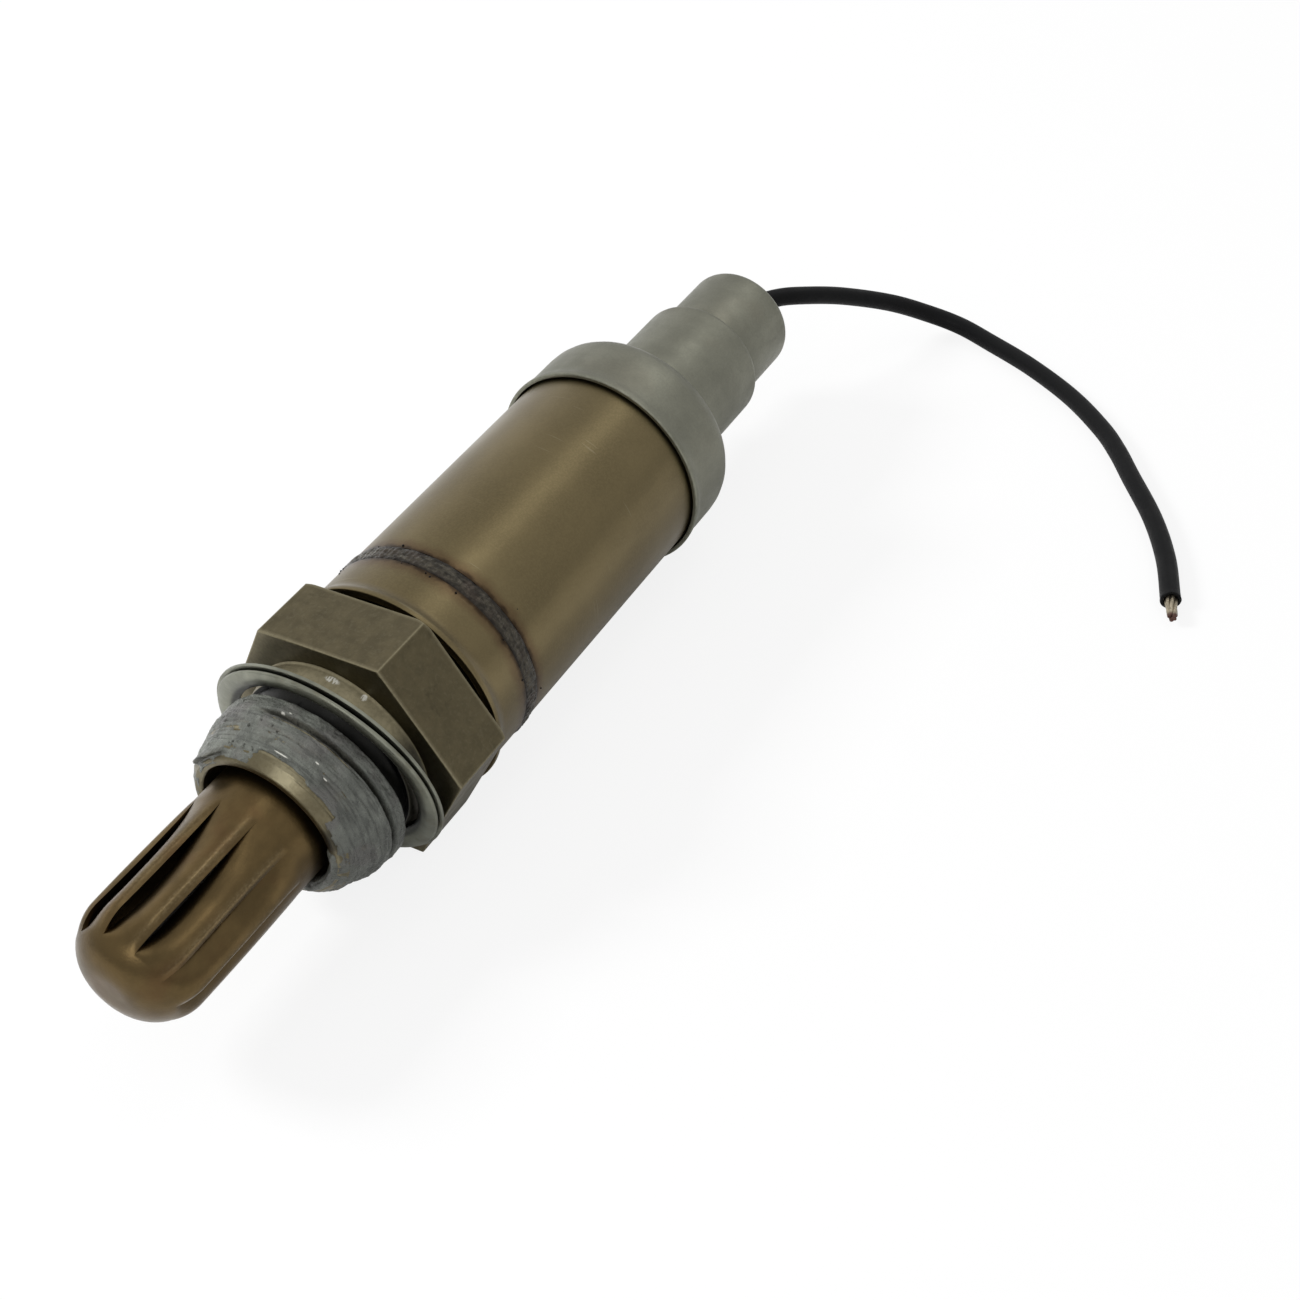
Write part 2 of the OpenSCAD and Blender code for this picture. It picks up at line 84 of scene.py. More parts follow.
# Tints of dirt, heat and wear, and of painted shade and painted highlight, as linear light
# Grease, and painted shade: darkens the undercut, the thread's end and recesses
GREASE = (0.020, 0.020, 0.019, 1)
# Painted highlight: the shoulder's bright spots, nicked like scuffs
NICK = (0.66, 0.65, 0.58, 1)
STRAND_BROWN = (0.10, 0.055, 0.045, 1)
PASTE_VIOLET = (0.105, 0.095, 0.092, 1)
PASTE_OLIVE = (0.11, 0.095, 0.065, 1)
PASTE_GLINT = (0.62, 0.61, 0.55, 1)
FOLD_SHADE = (0.02, 0.02, 0.021, 1)
PROBE_RED = (0.105, 0.055, 0.026, 1)
# Painted highlight along the probe's ribs
PROBE_RUB = (0.33, 0.26, 0.15, 1)
HEAT_BROWN = (0.085, 0.045, 0.026, 1)
HEAT_BLACK = (0.022, 0.014, 0.010, 1)
WELD_OXIDE = (0.045, 0.032, 0.026, 1)
SOOT = (0.012, 0.010, 0.009, 1)
CAP_WARM = (0.215, 0.20, 0.155, 1)
FILM_GREY = (0.075, 0.07, 0.065, 1)

# The picture's camera: its place in metres, its three axes, and its lens in millimetres
CAMERA_PLACE = (-0.078283, -0.091752, 0.113626)
CAMERA_SIDE = (0.50122, -0.86024, -0.09359)
CAMERA_UP = (0.61199, 0.27594, 0.74117)
CAMERA_BACK = (-0.61176, -0.42876, 0.66476)
CAMERA_LENS, CAMERA_SENSOR = 52.615, 36

# Each lamp's place, target and size, in metres, and its power in watts
LAMPS = {
    "strip": ((0.33, -0.08, 0.42), (0.036, 0, 0), (0.10, 0.60), 0.26),
    "key": ((-0.15, 0.45, 0.40), (0.03, 0, 0), (0.16, 0.16), 3.9),
    "front": ((-0.36, -0.09, 0.26), (0, 0, 0), (0.13, 0.13), 0.22),
}

# The studio's light by the height of a direction, and a glow towards one side
SKY = ((0.0, 0.26), (0.10, 0.37), (0.24, 0.64), (0.5, 0.69), (1.0, 0.71))
GLOW_WAY, GLOW_EDGE, GLOW = (0.25, 0.95, 0.18), 0.55, 0.55

# Share of plain white that the camera sees, and that mirrors and glass show
SKY_WHITE = (1.0, 0.2)
TABLE_WHITE = (0.85, 0.10)
TABLE_HALF = 1.5  # metres


# Sizes and colours


def length(name, description, default, low=0.0, high=0.1):
    """A length property, in metres."""
    return FloatProperty(name=name, description=description, default=default, min=low, max=high,
                         precision=5, unit="LENGTH", subtype="DISTANCE")


def colour(name, description, default):
    """A colour property, as it looks on the screen."""
    return FloatVectorProperty(name=name, description=description, default=default, size=3,
                               min=0.0, max=1.0, subtype="COLOR_GAMMA")


class SensorSizes(bpy.types.PropertyGroup):
    thread_pitch: length("Thread pitch", "Distance between two crests of the thread", 0.0015)
    thread_radius: length("Thread radius", "Radius of the thread's crests", 0.009)
    thread_phase: length("Thread phase", "How far before the origin a crest crosses angle 0",
                         0.00087)
    thread_depth: length("Thread depth", "Height from the thread's roots to its crests", 0.00092)
    front_radius: length("Front radius", "Outer radius of the body's front face", 0.00735)
    front_chamfer: length("Front chamfer", "Chamfer at the body's front face", 0.0008)
    taper_length: length("Taper length", "Length over which the first turns are tapered", 0.0030)
    mouth_radius: length("Mouth radius", "Radius of the bore round the probe", 0.0066)
    mouth_depth: length("Mouth depth", "Depth of the bore round the probe", 0.004)
    throat_radius: length("Throat radius", "Radius of the bore that holds the probe", 0.0059)
    chamber_radius: length("Chamber radius", "Radius of the bore that holds the element", 0.007)
    neck_radius: length("Neck radius", "Radius of the undercut behind the thread", 0.0082)
    shoulder_start: length("Shoulder start", "Station where the undercut ends", 0.0023)
    shoulder_radius: length("Shoulder radius", "Radius of the shoulder under the gasket", 0.0087)
    hex_start: length("Hexagon start", "Station of the hexagon's front face", 0.0045)
    hex_end: length("Hexagon end", "Station of the hexagon's back face", 0.0115)
    hex_round: length("Hexagon edge", "Rounding of the hexagon's edges", 0.0001)
    hex_chamfer: length("Hexagon chamfer", "How far the back chamfer cuts the corners", 0.0005)
    tail_radius: length("Tail radius", "Radius of the body inside the sleeves", 0.00985)
    tail_bore: length("Tail bore", "Radius of the bore behind the element's seat", 0.00785)
    tail_depth: length("Tail bore depth", "Depth of the bore behind the element's seat", 0.008)
    gasket_lean: FloatProperty(
        name="Gasket lean", description="Lean of the loose gasket against the hexagon",
        default=math.radians(8.3), min=0.0, max=math.radians(12), subtype="ANGLE",
        unit="ROTATION")
    gasket_thickness: length("Gasket thickness", "Thickness of the folded gasket", 0.0009)
    gasket_sheet: length("Gasket sheet", "Thickness of the gasket's sheet", 0.0003)
    gasket_hole: length("Gasket hole", "Inner radius of the gasket", 0.0091)
    probe_radius: length("Probe radius", "Radius of the probe tube", 0.0058)
    probe_wall: length("Probe wall", "Sheet thickness of the probe tube", 0.0004)
    nose_radius: length("Nose radius", "Rounding of the probe's nose", 0.0044)
    louvre_count: IntProperty(name="Louvres", description="Number of louvres round the probe",
                              default=10, min=4, max=16)
    louvre_start: FloatProperty(
        name="First louvre", description="Angle of the first louvre's slit",
        default=math.radians(13), subtype="ANGLE", unit="ROTATION")
    louvre_depth: length("Louvre depth", "How deep a louvre's edge is pushed in", 0.0015)
    louvre_setback: length("Louvre setback", "Distance from the probe's tip to the louvres", 0.0019)
    louvre_length: length("Louvre length", "Length of a louvre along the axis", 0.0145)
    weld_rough: length("Weld roughness", "Height of the weld's bumps", 0.00006)
    cap_wall: length("Cap wall", "Sheet thickness of the cap", 0.0005)
    cap_shoulder: length("Cap shoulder", "Station where the cap's skirt ends", 0.056)
    cap_hole: length("Cap hole", "Radius of the hole round the grommet", 0.0025)
    first_neck: length("First neck radius", "Radius of the cap's first neck", 0.0069)
    second_neck: length("Second neck radius", "Radius of the cap's second neck", 0.0059)
    second_length: length("Second neck length", "Length of the cap's second neck", 0.0092)
    lead_radius: length("Lead radius", "Radius over the lead's insulation", 0.001)
    strand_radius: length("Strand radius", "Radius of one strand", 0.00021)
    strand_length: length("Strand length", "Length of the bare strands", 0.0032)


class SensorColours(bpy.types.PropertyGroup):
    body: colour("Body", "Plated steel of the thread and hexagon", (0.37, 0.34, 0.26))
    worn: colour("Worn edges", "Steel where the plating has worn off", (0.58, 0.55, 0.45))
    paste: colour("Paste", "Grey paste on the thread", (0.385, 0.395, 0.37))
    gasket: colour("Gasket", "Dull steel of the gasket", (0.53, 0.535, 0.485))
    probe: colour("Probe", "Bronze tint of the probe tube", (0.39, 0.325, 0.215))
    sleeve: colour("Sleeves", "Bronze tint of the two sleeves", (0.43, 0.385, 0.28))
    cap: colour("Cap", "Matt grey of the cable cap", (0.505, 0.505, 0.455))
    weld: colour("Weld", "Oxide grey of the weld", (0.25, 0.235, 0.205))
    insulation: colour("Insulation", "Black of the lead", (0.03, 0.031, 0.035))
    strands: colour("Strands", "Tinned metal of the strands", (0.66, 0.62, 0.54))
    ceramic: colour("Ceramic", "White of the fired ceramics", (0.88, 0.86, 0.80))
    table: colour("Table", "Pale table under the sensor", (0.88, 0.88, 0.88))


def sizes():
    """The scene's sizes, each as a plain number in millimetres, an angle or a count."""
    group = bpy.context.scene.sensor_sizes
    values = {}
    for key, prop in group.bl_rna.properties.items():
        if key in ("rna_type", "name"):
            continue
        value = getattr(group, key)
        values[key] = value / MM if prop.type == "FLOAT" and prop.unit == "LENGTH" else value
    return SimpleNamespace(**values)


def paint(key, gain=1.0):
    """One of the scene's colours as linear light, red, green, blue and one."""
    seen = np.array(getattr(bpy.context.scene.sensor_colours, key)) * gain
    light = np.where(seen <= 0.04045, seen / 12.92, ((seen + 0.055) / 1.055) ** 2.4)
    return (*map(float, light), 1.0)


def reach(node):
    """First and last station of a solid along the axis, and its largest half height, in mm."""
    low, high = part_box(node)
    return low.x / MM, high.x / MM, high.z / MM


# Surfaces


def smooth(value, start, end):
    """0 up to start and 1 from end, by 3t^2 - 2t^3 between them; start may lie above end."""
    t = np.clip((np.asarray(value, float) - start) / (end - start), 0, 1)
    return t * t * (3 - 2 * t)


def polar(x, radius, angle):
    """Points at station x and a radius and angle round the axis: (x, r cos a, r sin a)."""
    x, radius, angle = np.broadcast_arrays(x, radius, angle)
    return np.stack([x, radius * np.cos(angle), radius * np.sin(angle)], -1)


def round_table(count):
    """That many angles, evenly round the axis."""
    return np.arange(count) * TURN / count


def bumps(points, cell, seed, octaves=3):
    """Smooth random height of about -1 to 1 at each point.

    Random numbers sit on a cubic lattice of that cell, in mm. A point takes the sum of its eight
    neighbours, each times the product of 3t^2 - 2t^3 along the three axes. Every further octave
    has half the cell and half the height.
    """
    table = np.random.default_rng(seed).uniform(-1, 1, (37, 41, 43))
    total = np.zeros(points.shape[:-1])
    for octave in range(octaves):
        place = points * (2**octave / np.asarray(cell, float)) + 11.7 * (octave + 1)
        base = np.floor(place).astype(int)
        t = place - base
        t = t * t * (3 - 2 * t)
        for corner in np.ndindex(2, 2, 2):
            weight, index = 1.0, []
            for axis, side in enumerate(corner):
                weight = weight * (t[..., axis] if side else 1 - t[..., axis])
                index.append((base[..., axis] + side) % table.shape[axis])
            total += weight * table[tuple(index)] / 2**octave
    return total


def outline(corners, steps=6):
    """Line of station and radius through (x, r, rounding) corners.

    A corner p with a rounding becomes the curve (1-t)^2 a + 2t(1-t) p + t^2 b, where a and b lie
    that far from p on the sides to the corner before it and after it.
    """
    p = np.array(corners, float)
    point, cut = p[:, :2], p[:, 2:]
    back, ahead = np.roll(point, 1, 0) - point, np.roll(point, -1, 0) - point
    a = point + back / np.maximum(np.linalg.norm(back, axis=1, keepdims=True), 1e-9) * cut
    b = point + ahead / np.maximum(np.linalg.norm(ahead, axis=1, keepdims=True), 1e-9) * cut
    t = np.linspace(0, 1, steps)[None, :, None]
    curve = (1 - t) ** 2 * a[:, None] + 2 * t * (1 - t) * point[:, None] + t**2 * b[:, None]
    return curve.reshape(-1, 2)


def skin(points, close_rows=False, close_columns=True, **values):
    """A grid of points as vertices, quads between neighbours, and named values at the vertices."""
    rows, columns = points.shape[:2]
    i = np.arange(rows if close_rows else rows - 1)[:, None]
    j = np.arange(columns if close_columns else columns - 1)[None, :]
    i2, j2 = (i + 1) % rows, (j + 1) % columns
    quads = np.stack(np.broadcast_arrays(i * columns + j, i * columns + j2,
                                         i2 * columns + j2, i2 * columns + j), -1)
    flat = {key: np.broadcast_to(value, (rows, columns)).ravel() for key, value in values.items()}
    return points.reshape(-1, 3), quads.reshape(-1, 4), flat


def turned(corners, count=240, steps=6):
    """A closed outline swept round the axis: each of its points at every angle."""
    line = outline(corners, steps)
    return skin(polar(line[:, :1], line[:, 1:], round_table(count)[None]), close_rows=True)


def piece(name, skins, finish, stands_for=(), wall=0.0, crease=32):
    """Makes one mesh of several skins, closed and turned outwards, and rides it on the sensor."""
    old = bpy.data.objects.get(name)
    if old:
        bpy.data.objects.remove(old)
    starts = np.cumsum([0] + [len(s[0]) for s in skins[:-1]])
    points = np.concatenate([s[0] for s in skins]) * MM
    quads = np.concatenate([s[1] + start for s, start in zip(skins, starts)])
    mesh = bpy.data.meshes.new(name)
    mesh.vertices.add(len(points))
    mesh.vertices.foreach_set("co", points.ravel())
    mesh.loops.add(quads.size)
    mesh.loops.foreach_set("vertex_index", quads.ravel())
    mesh.polygons.add(len(quads))
    mesh.polygons.foreach_set("loop_start", np.arange(0, quads.size, 4))
    mesh.update(calc_edges=True)
    for key in skins[0][2]:
        layer = mesh.attributes.new(key, "FLOAT", "POINT")
        layer.data.foreach_set("value", np.concatenate([s[2][key] for s in skins]))
    work = bmesh.new()
    work.from_mesh(mesh)
    bmesh.ops.remove_doubles(work, verts=work.verts, dist=MERGED)
    bmesh.ops.recalc_face_normals(work, faces=work.faces)
    if work.calc_volume(signed=True) < 0:
        bmesh.ops.reverse_faces(work, faces=work.faces)
    if wall:
        sheet = bpy.data.meshes.new(name + "_sheet")
        work.to_mesh(sheet)
        work.free()
        mesh = thickened(sheet, wall)
        mesh.name = name
    else:
        work.to_mesh(mesh)
        work.free()
    mesh.polygons.foreach_set("use_smooth", np.ones(len(mesh.polygons), bool))
    mesh.set_sharp_from_angle(angle=math.radians(crease))
    made = bpy.data.objects.new(name, mesh)
    bpy.context.scene.collection.objects.link(made)
    mesh.materials.clear()
    mesh.materials.append(finish)
    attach(made, "root")
    if stands_for:
        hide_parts(*stands_for)
    return made


def thickened(sheet, wall):
    """The sheet with a wall of that many millimetres inside it, as Solidify makes it."""
    holder = bpy.data.objects.new("holder", sheet)
    bpy.context.scene.collection.objects.link(holder)
    solid = holder.modifiers.new("wall", "SOLIDIFY")
    solid.thickness = wall * MM
    solid.offset = -1
    solid.use_even_offset = True
    seen = holder.evaluated_get(bpy.context.evaluated_depsgraph_get())
    mesh = bpy.data.meshes.new_from_object(seen)
    bpy.data.objects.remove(holder)
    return mesh


# Finishes


class Nodes:
    """Short calls that add and wire the nodes of one tree."""

    def __init__(self, tree):
        self.tree = tree

    def node(self, kind, wires=(), **settings):
        """Adds a node, with its settings, and its inputs wired or set."""
        added = self.tree.nodes.new(kind)
        for key, value in settings.items():
            setattr(added, key, value)
        for socket, value in dict(wires).items():
            self.plug(added.inputs[socket], value)
        return added

    def plug(self, socket, value):
        """Wires a socket to another node's output, or sets it."""
        if isinstance(value, bpy.types.NodeSocket):
            self.tree.links.new(value, socket)
        else:
            socket.default_value = value

    def calc(self, operation, first, second):
        """Two values joined by a Math node."""
        return self.node("ShaderNodeMath", {0: first, 1: second}, operation=operation).outputs[0]

    def span(self, source, start, end, low=0.0, high=1.0):
        """low where the source is at start, high where it is at end, and a soft step between."""
        return self.node("ShaderNodeMapRange", {
            0: source, 1: start, 2: end, 3: low, 4: high},
            interpolation_type="SMOOTHSTEP").outputs[0]

    def whitened(self, shader, white, looked_at, mirrored):
        """The shader mixed with a white one, by one share for the camera and one for mirrors."""
        path = self.node("ShaderNodeLightPath").outputs
        glass = self.calc("MAXIMUM", path["Is Glossy Ray"], path["Is Transmission Ray"])
        share = self.calc("MAXIMUM", self.calc("MULTIPLY", path["Is Camera Ray"], looked_at),
                          self.calc("MULTIPLY", glass, mirrored))
        return self.node("ShaderNodeMixShader", {0: share, 1: shader, 2: white}).outputs[0]


class Finish(Nodes):
    """A material: one Principled shader, and short calls for the nodes that vary it.

    Patterns are measured in millimetres on the piece's own object coordinates.
    """

    def __init__(self, name, metallic=0.0, roughness=0.5):
        self.material = bpy.data.materials.new(name)
        self.material.use_nodes = True
        super().__init__(self.material.node_tree)
        self.shader = self.tree.nodes["Principled BSDF"]
        self.shader.inputs["Metallic"].default_value = metallic
        self.shader.inputs["Roughness"].default_value = roughness
        self.place = self.node("ShaderNodeTexCoord").outputs["Object"]
        self.normal = None

    def noise(self, cell, stretch=(1, 1, 1), detail=3.0, rough=0.55, bend=0.0):
        """Noise from 0 to 1 with cells of that many millimetres, longer along a stretched axis."""
        scale = [1 / (MM * cell * s) for s in stretch]
        spread = self.node("ShaderNodeMapping", {"Vector": self.place, "Scale": scale})
        return self.node("ShaderNodeTexNoise", {
            "Vector": spread.outputs[0], "Scale": 1.0, "Detail": detail, "Roughness": rough,
            "Distortion": bend}).outputs[0]

    def value(self, key):
        """A named value that the mesh carries at its vertices."""
        return self.node("ShaderNodeAttribute", attribute_name=key).outputs["Fac"]

    def station(self):
        """The place along the sensor's axis, in metres."""
        return self.node("ShaderNodeSeparateXYZ", {0: self.place}).outputs[0]

    def mix(self, factor, first, second):
        """Two colours mixed by a factor."""
        return self.node("ShaderNodeMix", {0: factor, 6: first, 7: second},
                         data_type="RGBA").outputs[2]

    def tint(self, key, dark, light, source, start=0.3, end=0.7):
        """A colour of the scene, times dark where the source is at start and light at end."""
        return self.mix(self.span(source, start, end), paint(key, dark), paint(key, light))

    def relief(self, height, depth):
        """Bump from a height of 0 to 1, that many millimetres deep."""
        wires = {"Height": height, "Distance": depth * MM, "Strength": 1.0}
        if self.normal is not None:
            wires["Normal"] = self.normal
        self.normal = self.node("ShaderNodeBump", wires).outputs[0]

    def done(self, base, roughness=None):
        """Plugs what varies into the shader, and gives the material."""
        for socket, value in (("Base Color", base), ("Roughness", roughness),
                              ("Normal", self.normal)):
            if value is not None:
                self.plug(self.shader.inputs[socket], value)
        return self.material


def plated(name):
    """Olive plating: mottled and worn, with painted light where worn is set, painted highlights as
    scuffs, and darkened by grease and painted shade.
    """
    f = Finish(name, metallic=1.0)
    clouds = f.noise(1.6, detail=5, rough=0.65)
    base = f.tint("body", 0.93, 1.04, clouds)
    specks = f.noise(0.35, detail=3)
    base = f.mix(f.span(specks, 0.5, 0.72, 0, 0.22), base, paint("worn", 0.8))
    stains = f.noise(2.4, (1, 1.4, 1), detail=4, rough=0.6, bend=0.6)
    base = f.mix(f.span(stains, 0.60, 0.72, 0, 0.35), base, paint("body", 0.6))
    scrape = f.noise(0.16, (9, 1, 1), detail=2)
    # Worn metal, and painted light where worn is set on the shoulder, the hexagon's front face and
    # the chamfer
    rub = f.calc("MULTIPLY", f.value("worn"), f.span(specks, 0.3, 0.62, 0.7, 1.0))
    base = f.mix(rub, base, paint("worn"))
    # Painted highlights on the shoulder, broken up like nicks
    nicks = f.span(f.noise(0.13, (5, 1, 1), detail=2), 0.40, 0.52)
    base = f.mix(f.calc("MULTIPLY", f.span(f.value("scuff"), 0.25, 0.6), nicks), base, NICK)
    # Grease and painted shade: darker in the undercut, at the thread's end and in recesses
    base = f.mix(f.value("grime"), base, GREASE)
    f.relief(scrape, 0.008)
    f.relief(specks, 0.014)
    rough = f.span(clouds, 0.3, 0.7, 0.46, 0.36)
    return f.done(base, rough)


def plain(name, base, metallic=0.0, roughness=0.5, cell=1.2, spread=0.1, depth=0.01):
    """A piece that is seldom seen: its colour with faint clouds, and a fine bump."""
    f = Finish(name, metallic=metallic)
    clouds = f.noise(cell, detail=4)
    dark, light = [(*(c * g for c in base[:3]), 1.0) for g in (1 - spread, 1 + spread)]
    f.relief(f.noise(cell / 6, detail=3), depth)
    return f.done(f.mix(f.span(clouds, 0.3, 0.7), dark, light),
                  f.span(clouds, 0.3, 0.7, roughness + 0.06, roughness - 0.04))


# Pieces


# Route of the free lead, in mm: distance past the cap's grommet, place in Y, share of the drop
LEAD_ROUTE = np.array([
    (0, 0, 0), (2.5, -0.2, 0), (5, -1.6, 0.02), (7.4, -3.5, 0.08), (12, -6.2, 0.28),
    (17.3, -9.8, 0.58), (20.4, -13.3, 0.82), (21.3, -17, 0.95), (20.1, -21.2, 1),
    (17.2, -27.3, 1), (13.3, -33.6, 1), (9, -38.7, 1), (5.7, -41.7, 1), (2, -44.5, 1),
    (-3.8, -48.9, 1), (-9.4, -52.2, 1), (-15, -54.6, 1)], float)


def lead_points(s):
    """The route's points in the sensor's frame, in mm: past the grommet, and down to the table."""
    exit_x = reach("grommet")[1]
    drop = -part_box("seal_gasket")[0].z / MM - s.lead_radius
    return np.stack([exit_x + LEAD_ROUTE[:, 0], LEAD_ROUTE[:, 1], -LEAD_ROUTE[:, 2] * drop], -1)


def insulation_finish():
    """Satin black insulation with a fine grain and faint dust."""
    f = Finish("satin_insulation")
    f.shader.inputs["Specular IOR Level"].default_value = 0.14
    dust = f.noise(1.4, detail=5, rough=0.7)
    base = f.tint("insulation", 1.0, 1.5, dust, 0.45, 0.8)
    f.relief(f.noise(0.25, detail=3), 0.012)
    return f.done(base, f.span(dust, 0.3, 0.7, 0.46, 0.58))


def strand_finish():
    """Tinned strands, browned towards the cut by the value reach."""
    f = Finish("tinned_strands", metallic=1.0)
    fine = f.noise(0.15, detail=3)
    base = f.tint("strands", 0.8, 1.1, fine)
    tip = f.span(f.calc("ADD", f.value("reach"), f.calc("MULTIPLY", fine, 0.15)), 0.85, 1.0)
    base = f.mix(tip, base, STRAND_BROWN)
    f.relief(fine, 0.01)
    return f.done(base, 0.38)


class SENSOR_OT_lead(bpy.types.Operator):
    """Lays the lead on the table and fans its bare strands"""

    bl_idname = "sensor.lead"
    bl_label = "Lead"

    def execute(self, context):
        s = sizes()
        route = lead_points(s)
        step = np.gradient(route, axis=0)
        step[0] = (route[1] - route[0]) / 2 * [1, 0.4, 1]
        line = bpy.data.curves.new("lead", "CURVE")
        line.dimensions = "3D"
        spline = line.splines.new("BEZIER")
        spline.bezier_points.add(len(route) - 1)
        for key, place in (("co", route), ("handle_left", route - step / 3),
                           ("handle_right", route + step / 3)):
            spline.bezier_points.foreach_set(key, (place * MM).ravel())
        line.resolution_u = line.render_resolution_u = 14
        line.bevel_depth = s.lead_radius * MM
        line.bevel_resolution = 7
        line.use_fill_caps = True
        line.materials.append(insulation_finish())
        lead = bpy.data.objects.new("lead", line)
        context.scene.collection.objects.link(lead)
        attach(lead, "root")
        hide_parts("lead_insulation")

        heading = step[-1] / np.linalg.norm(step[-1])
        side = np.cross([0, 0, 1], heading)
        side /= np.linalg.norm(side)
        end = (route[-1], heading, side, np.cross(heading, side))
        skins = [self.strand(s, end, k) for k in range(7)]
        skins.append(self.cut_end(s, end))
        strands = piece("strands", skins, strand_finish(), ["lead_strands"])
        collar = piece("lead_end", [self.rim(s, end)], lead.data.materials[0])
        return {"FINISHED"}

    def about(self, end, along, radius, angle):
        """Points about the lead's end: root + along heading + radius (cos a side + sin a rise)."""
        root, heading, side, rise = end
        along, radius, angle = np.broadcast_arrays(along, radius, angle)
        return (root + along[..., None] * heading + (radius * np.cos(angle))[..., None] * side
                + (radius * np.sin(angle))[..., None] * rise)

    def strand(self, s, end, k):
        """One strand: a round wire along a helix about the lead's line that closes a little.

        Its centre runs from the root along the lead's heading at a radius r(t) and an angle
        b = 2 pi k / 6 + 1.3 t, and r shrinks towards the cut. The first strand is straight.
        """
        t = np.linspace(0, 1, 16)
        around = round_table(10)
        reach_out = s.strand_length * (1 - 0.05 * (k % 3)) * t - 0.2 * (1 - t)
        spread = 0 if k == 0 else 2 * s.strand_radius * (1.1 - 0.4 * t * (1 + 0.2 * (k % 2)))
        b = TURN * k / 6 + 1.3 * t
        centre = self.about(end, reach_out, spread, b)
        thick = s.strand_radius * np.concatenate([[0], np.ones(14), [0]])
        thick[-2] *= 0.96
        ring = self.about((0, *end[1:]), 0, thick[:, None], around[None])
        points = centre[:, None] + ring
        points[0] = points[1].mean(0)
        points[-1] = points[-2].mean(0)
        return skin(points, reach=t[:, None])

    def cut_end(self, s, end):
        """The bundle's core, seen between the strands: a short plug inside the insulation."""
        along = np.array([[-0.3], [-0.3], [0.0], [0.0]])
        radius = np.array([[0], [0.8], [0.8], [0]]) * s.lead_radius
        points = self.about(end, along, radius, round_table(24)[None])
        return skin(points, reach=np.zeros((4, 1)))

    def rim(self, s, end):
        """The cut edge of the insulation: a ring that stands 0.35 mm past the lead's end.

        Its length varies with the angle by a few hundredths of a millimetre, as a blade leaves it.
        """
        around = round_table(48)[None]
        line = outline([(-0.6, 0.9, 0), (-0.6, 1.0, 0), (0.0, 1.01, 0), (0.34, 1.05, 0.06),
                        (0.36, 0.76, 0.05), (0.0, 0.72, 0)], 4)
        ragged = 1 + 0.12 * np.sin(3 * around + 0.5) + 0.08 * np.sin(7 * around)
        along = np.where(line[:, :1] > 0, line[:, :1] * ragged, line[:, :1])
        return skin(self.about(end, along, s.lead_radius * line[:, 1:], around), close_rows=True)


def turns(x, angle, s):
    """Turns of the right-handed thread: (x + phase) / pitch - angle / 2 pi, whole on a crest."""
    return (x + s.thread_phase) / s.thread_pitch - angle / TURN


def crest(x, angle, s):
    """Distance from the thread's nearest crest, in turns: 0 on a crest and 0.5 in a root."""
    turn = turns(x, angle, s)
    return np.abs(turn - np.round(turn))


def thread(x, angle, s):
    """Radius of the metal thread: crest radius less depth times a ramp from crest to root.

    A chamfer and a taper cut its first turns, and a steep cone ends it at the undercut.
    """
    front = reach("shell")[0]
    crest_width, flank_width, end_slope = 0.07, 0.3, 2.2
    ramp = np.clip((crest(x, angle, s) - crest_width) / flank_width, 0, 1)
    radius = s.thread_radius - s.thread_depth * (0.6 * ramp + 0.4 * smooth(ramp, 0, 1))
    chamfer = s.front_radius + (x - front)
    start = s.front_radius + s.front_chamfer
    taper = start + (s.thread_radius - start) * (x - front - s.front_chamfer) / s.taper_length
    run_out = s.neck_radius + end_slope * np.maximum(-x, 0)
    return np.minimum(np.minimum(radius, run_out), np.minimum(chamfer, taper))


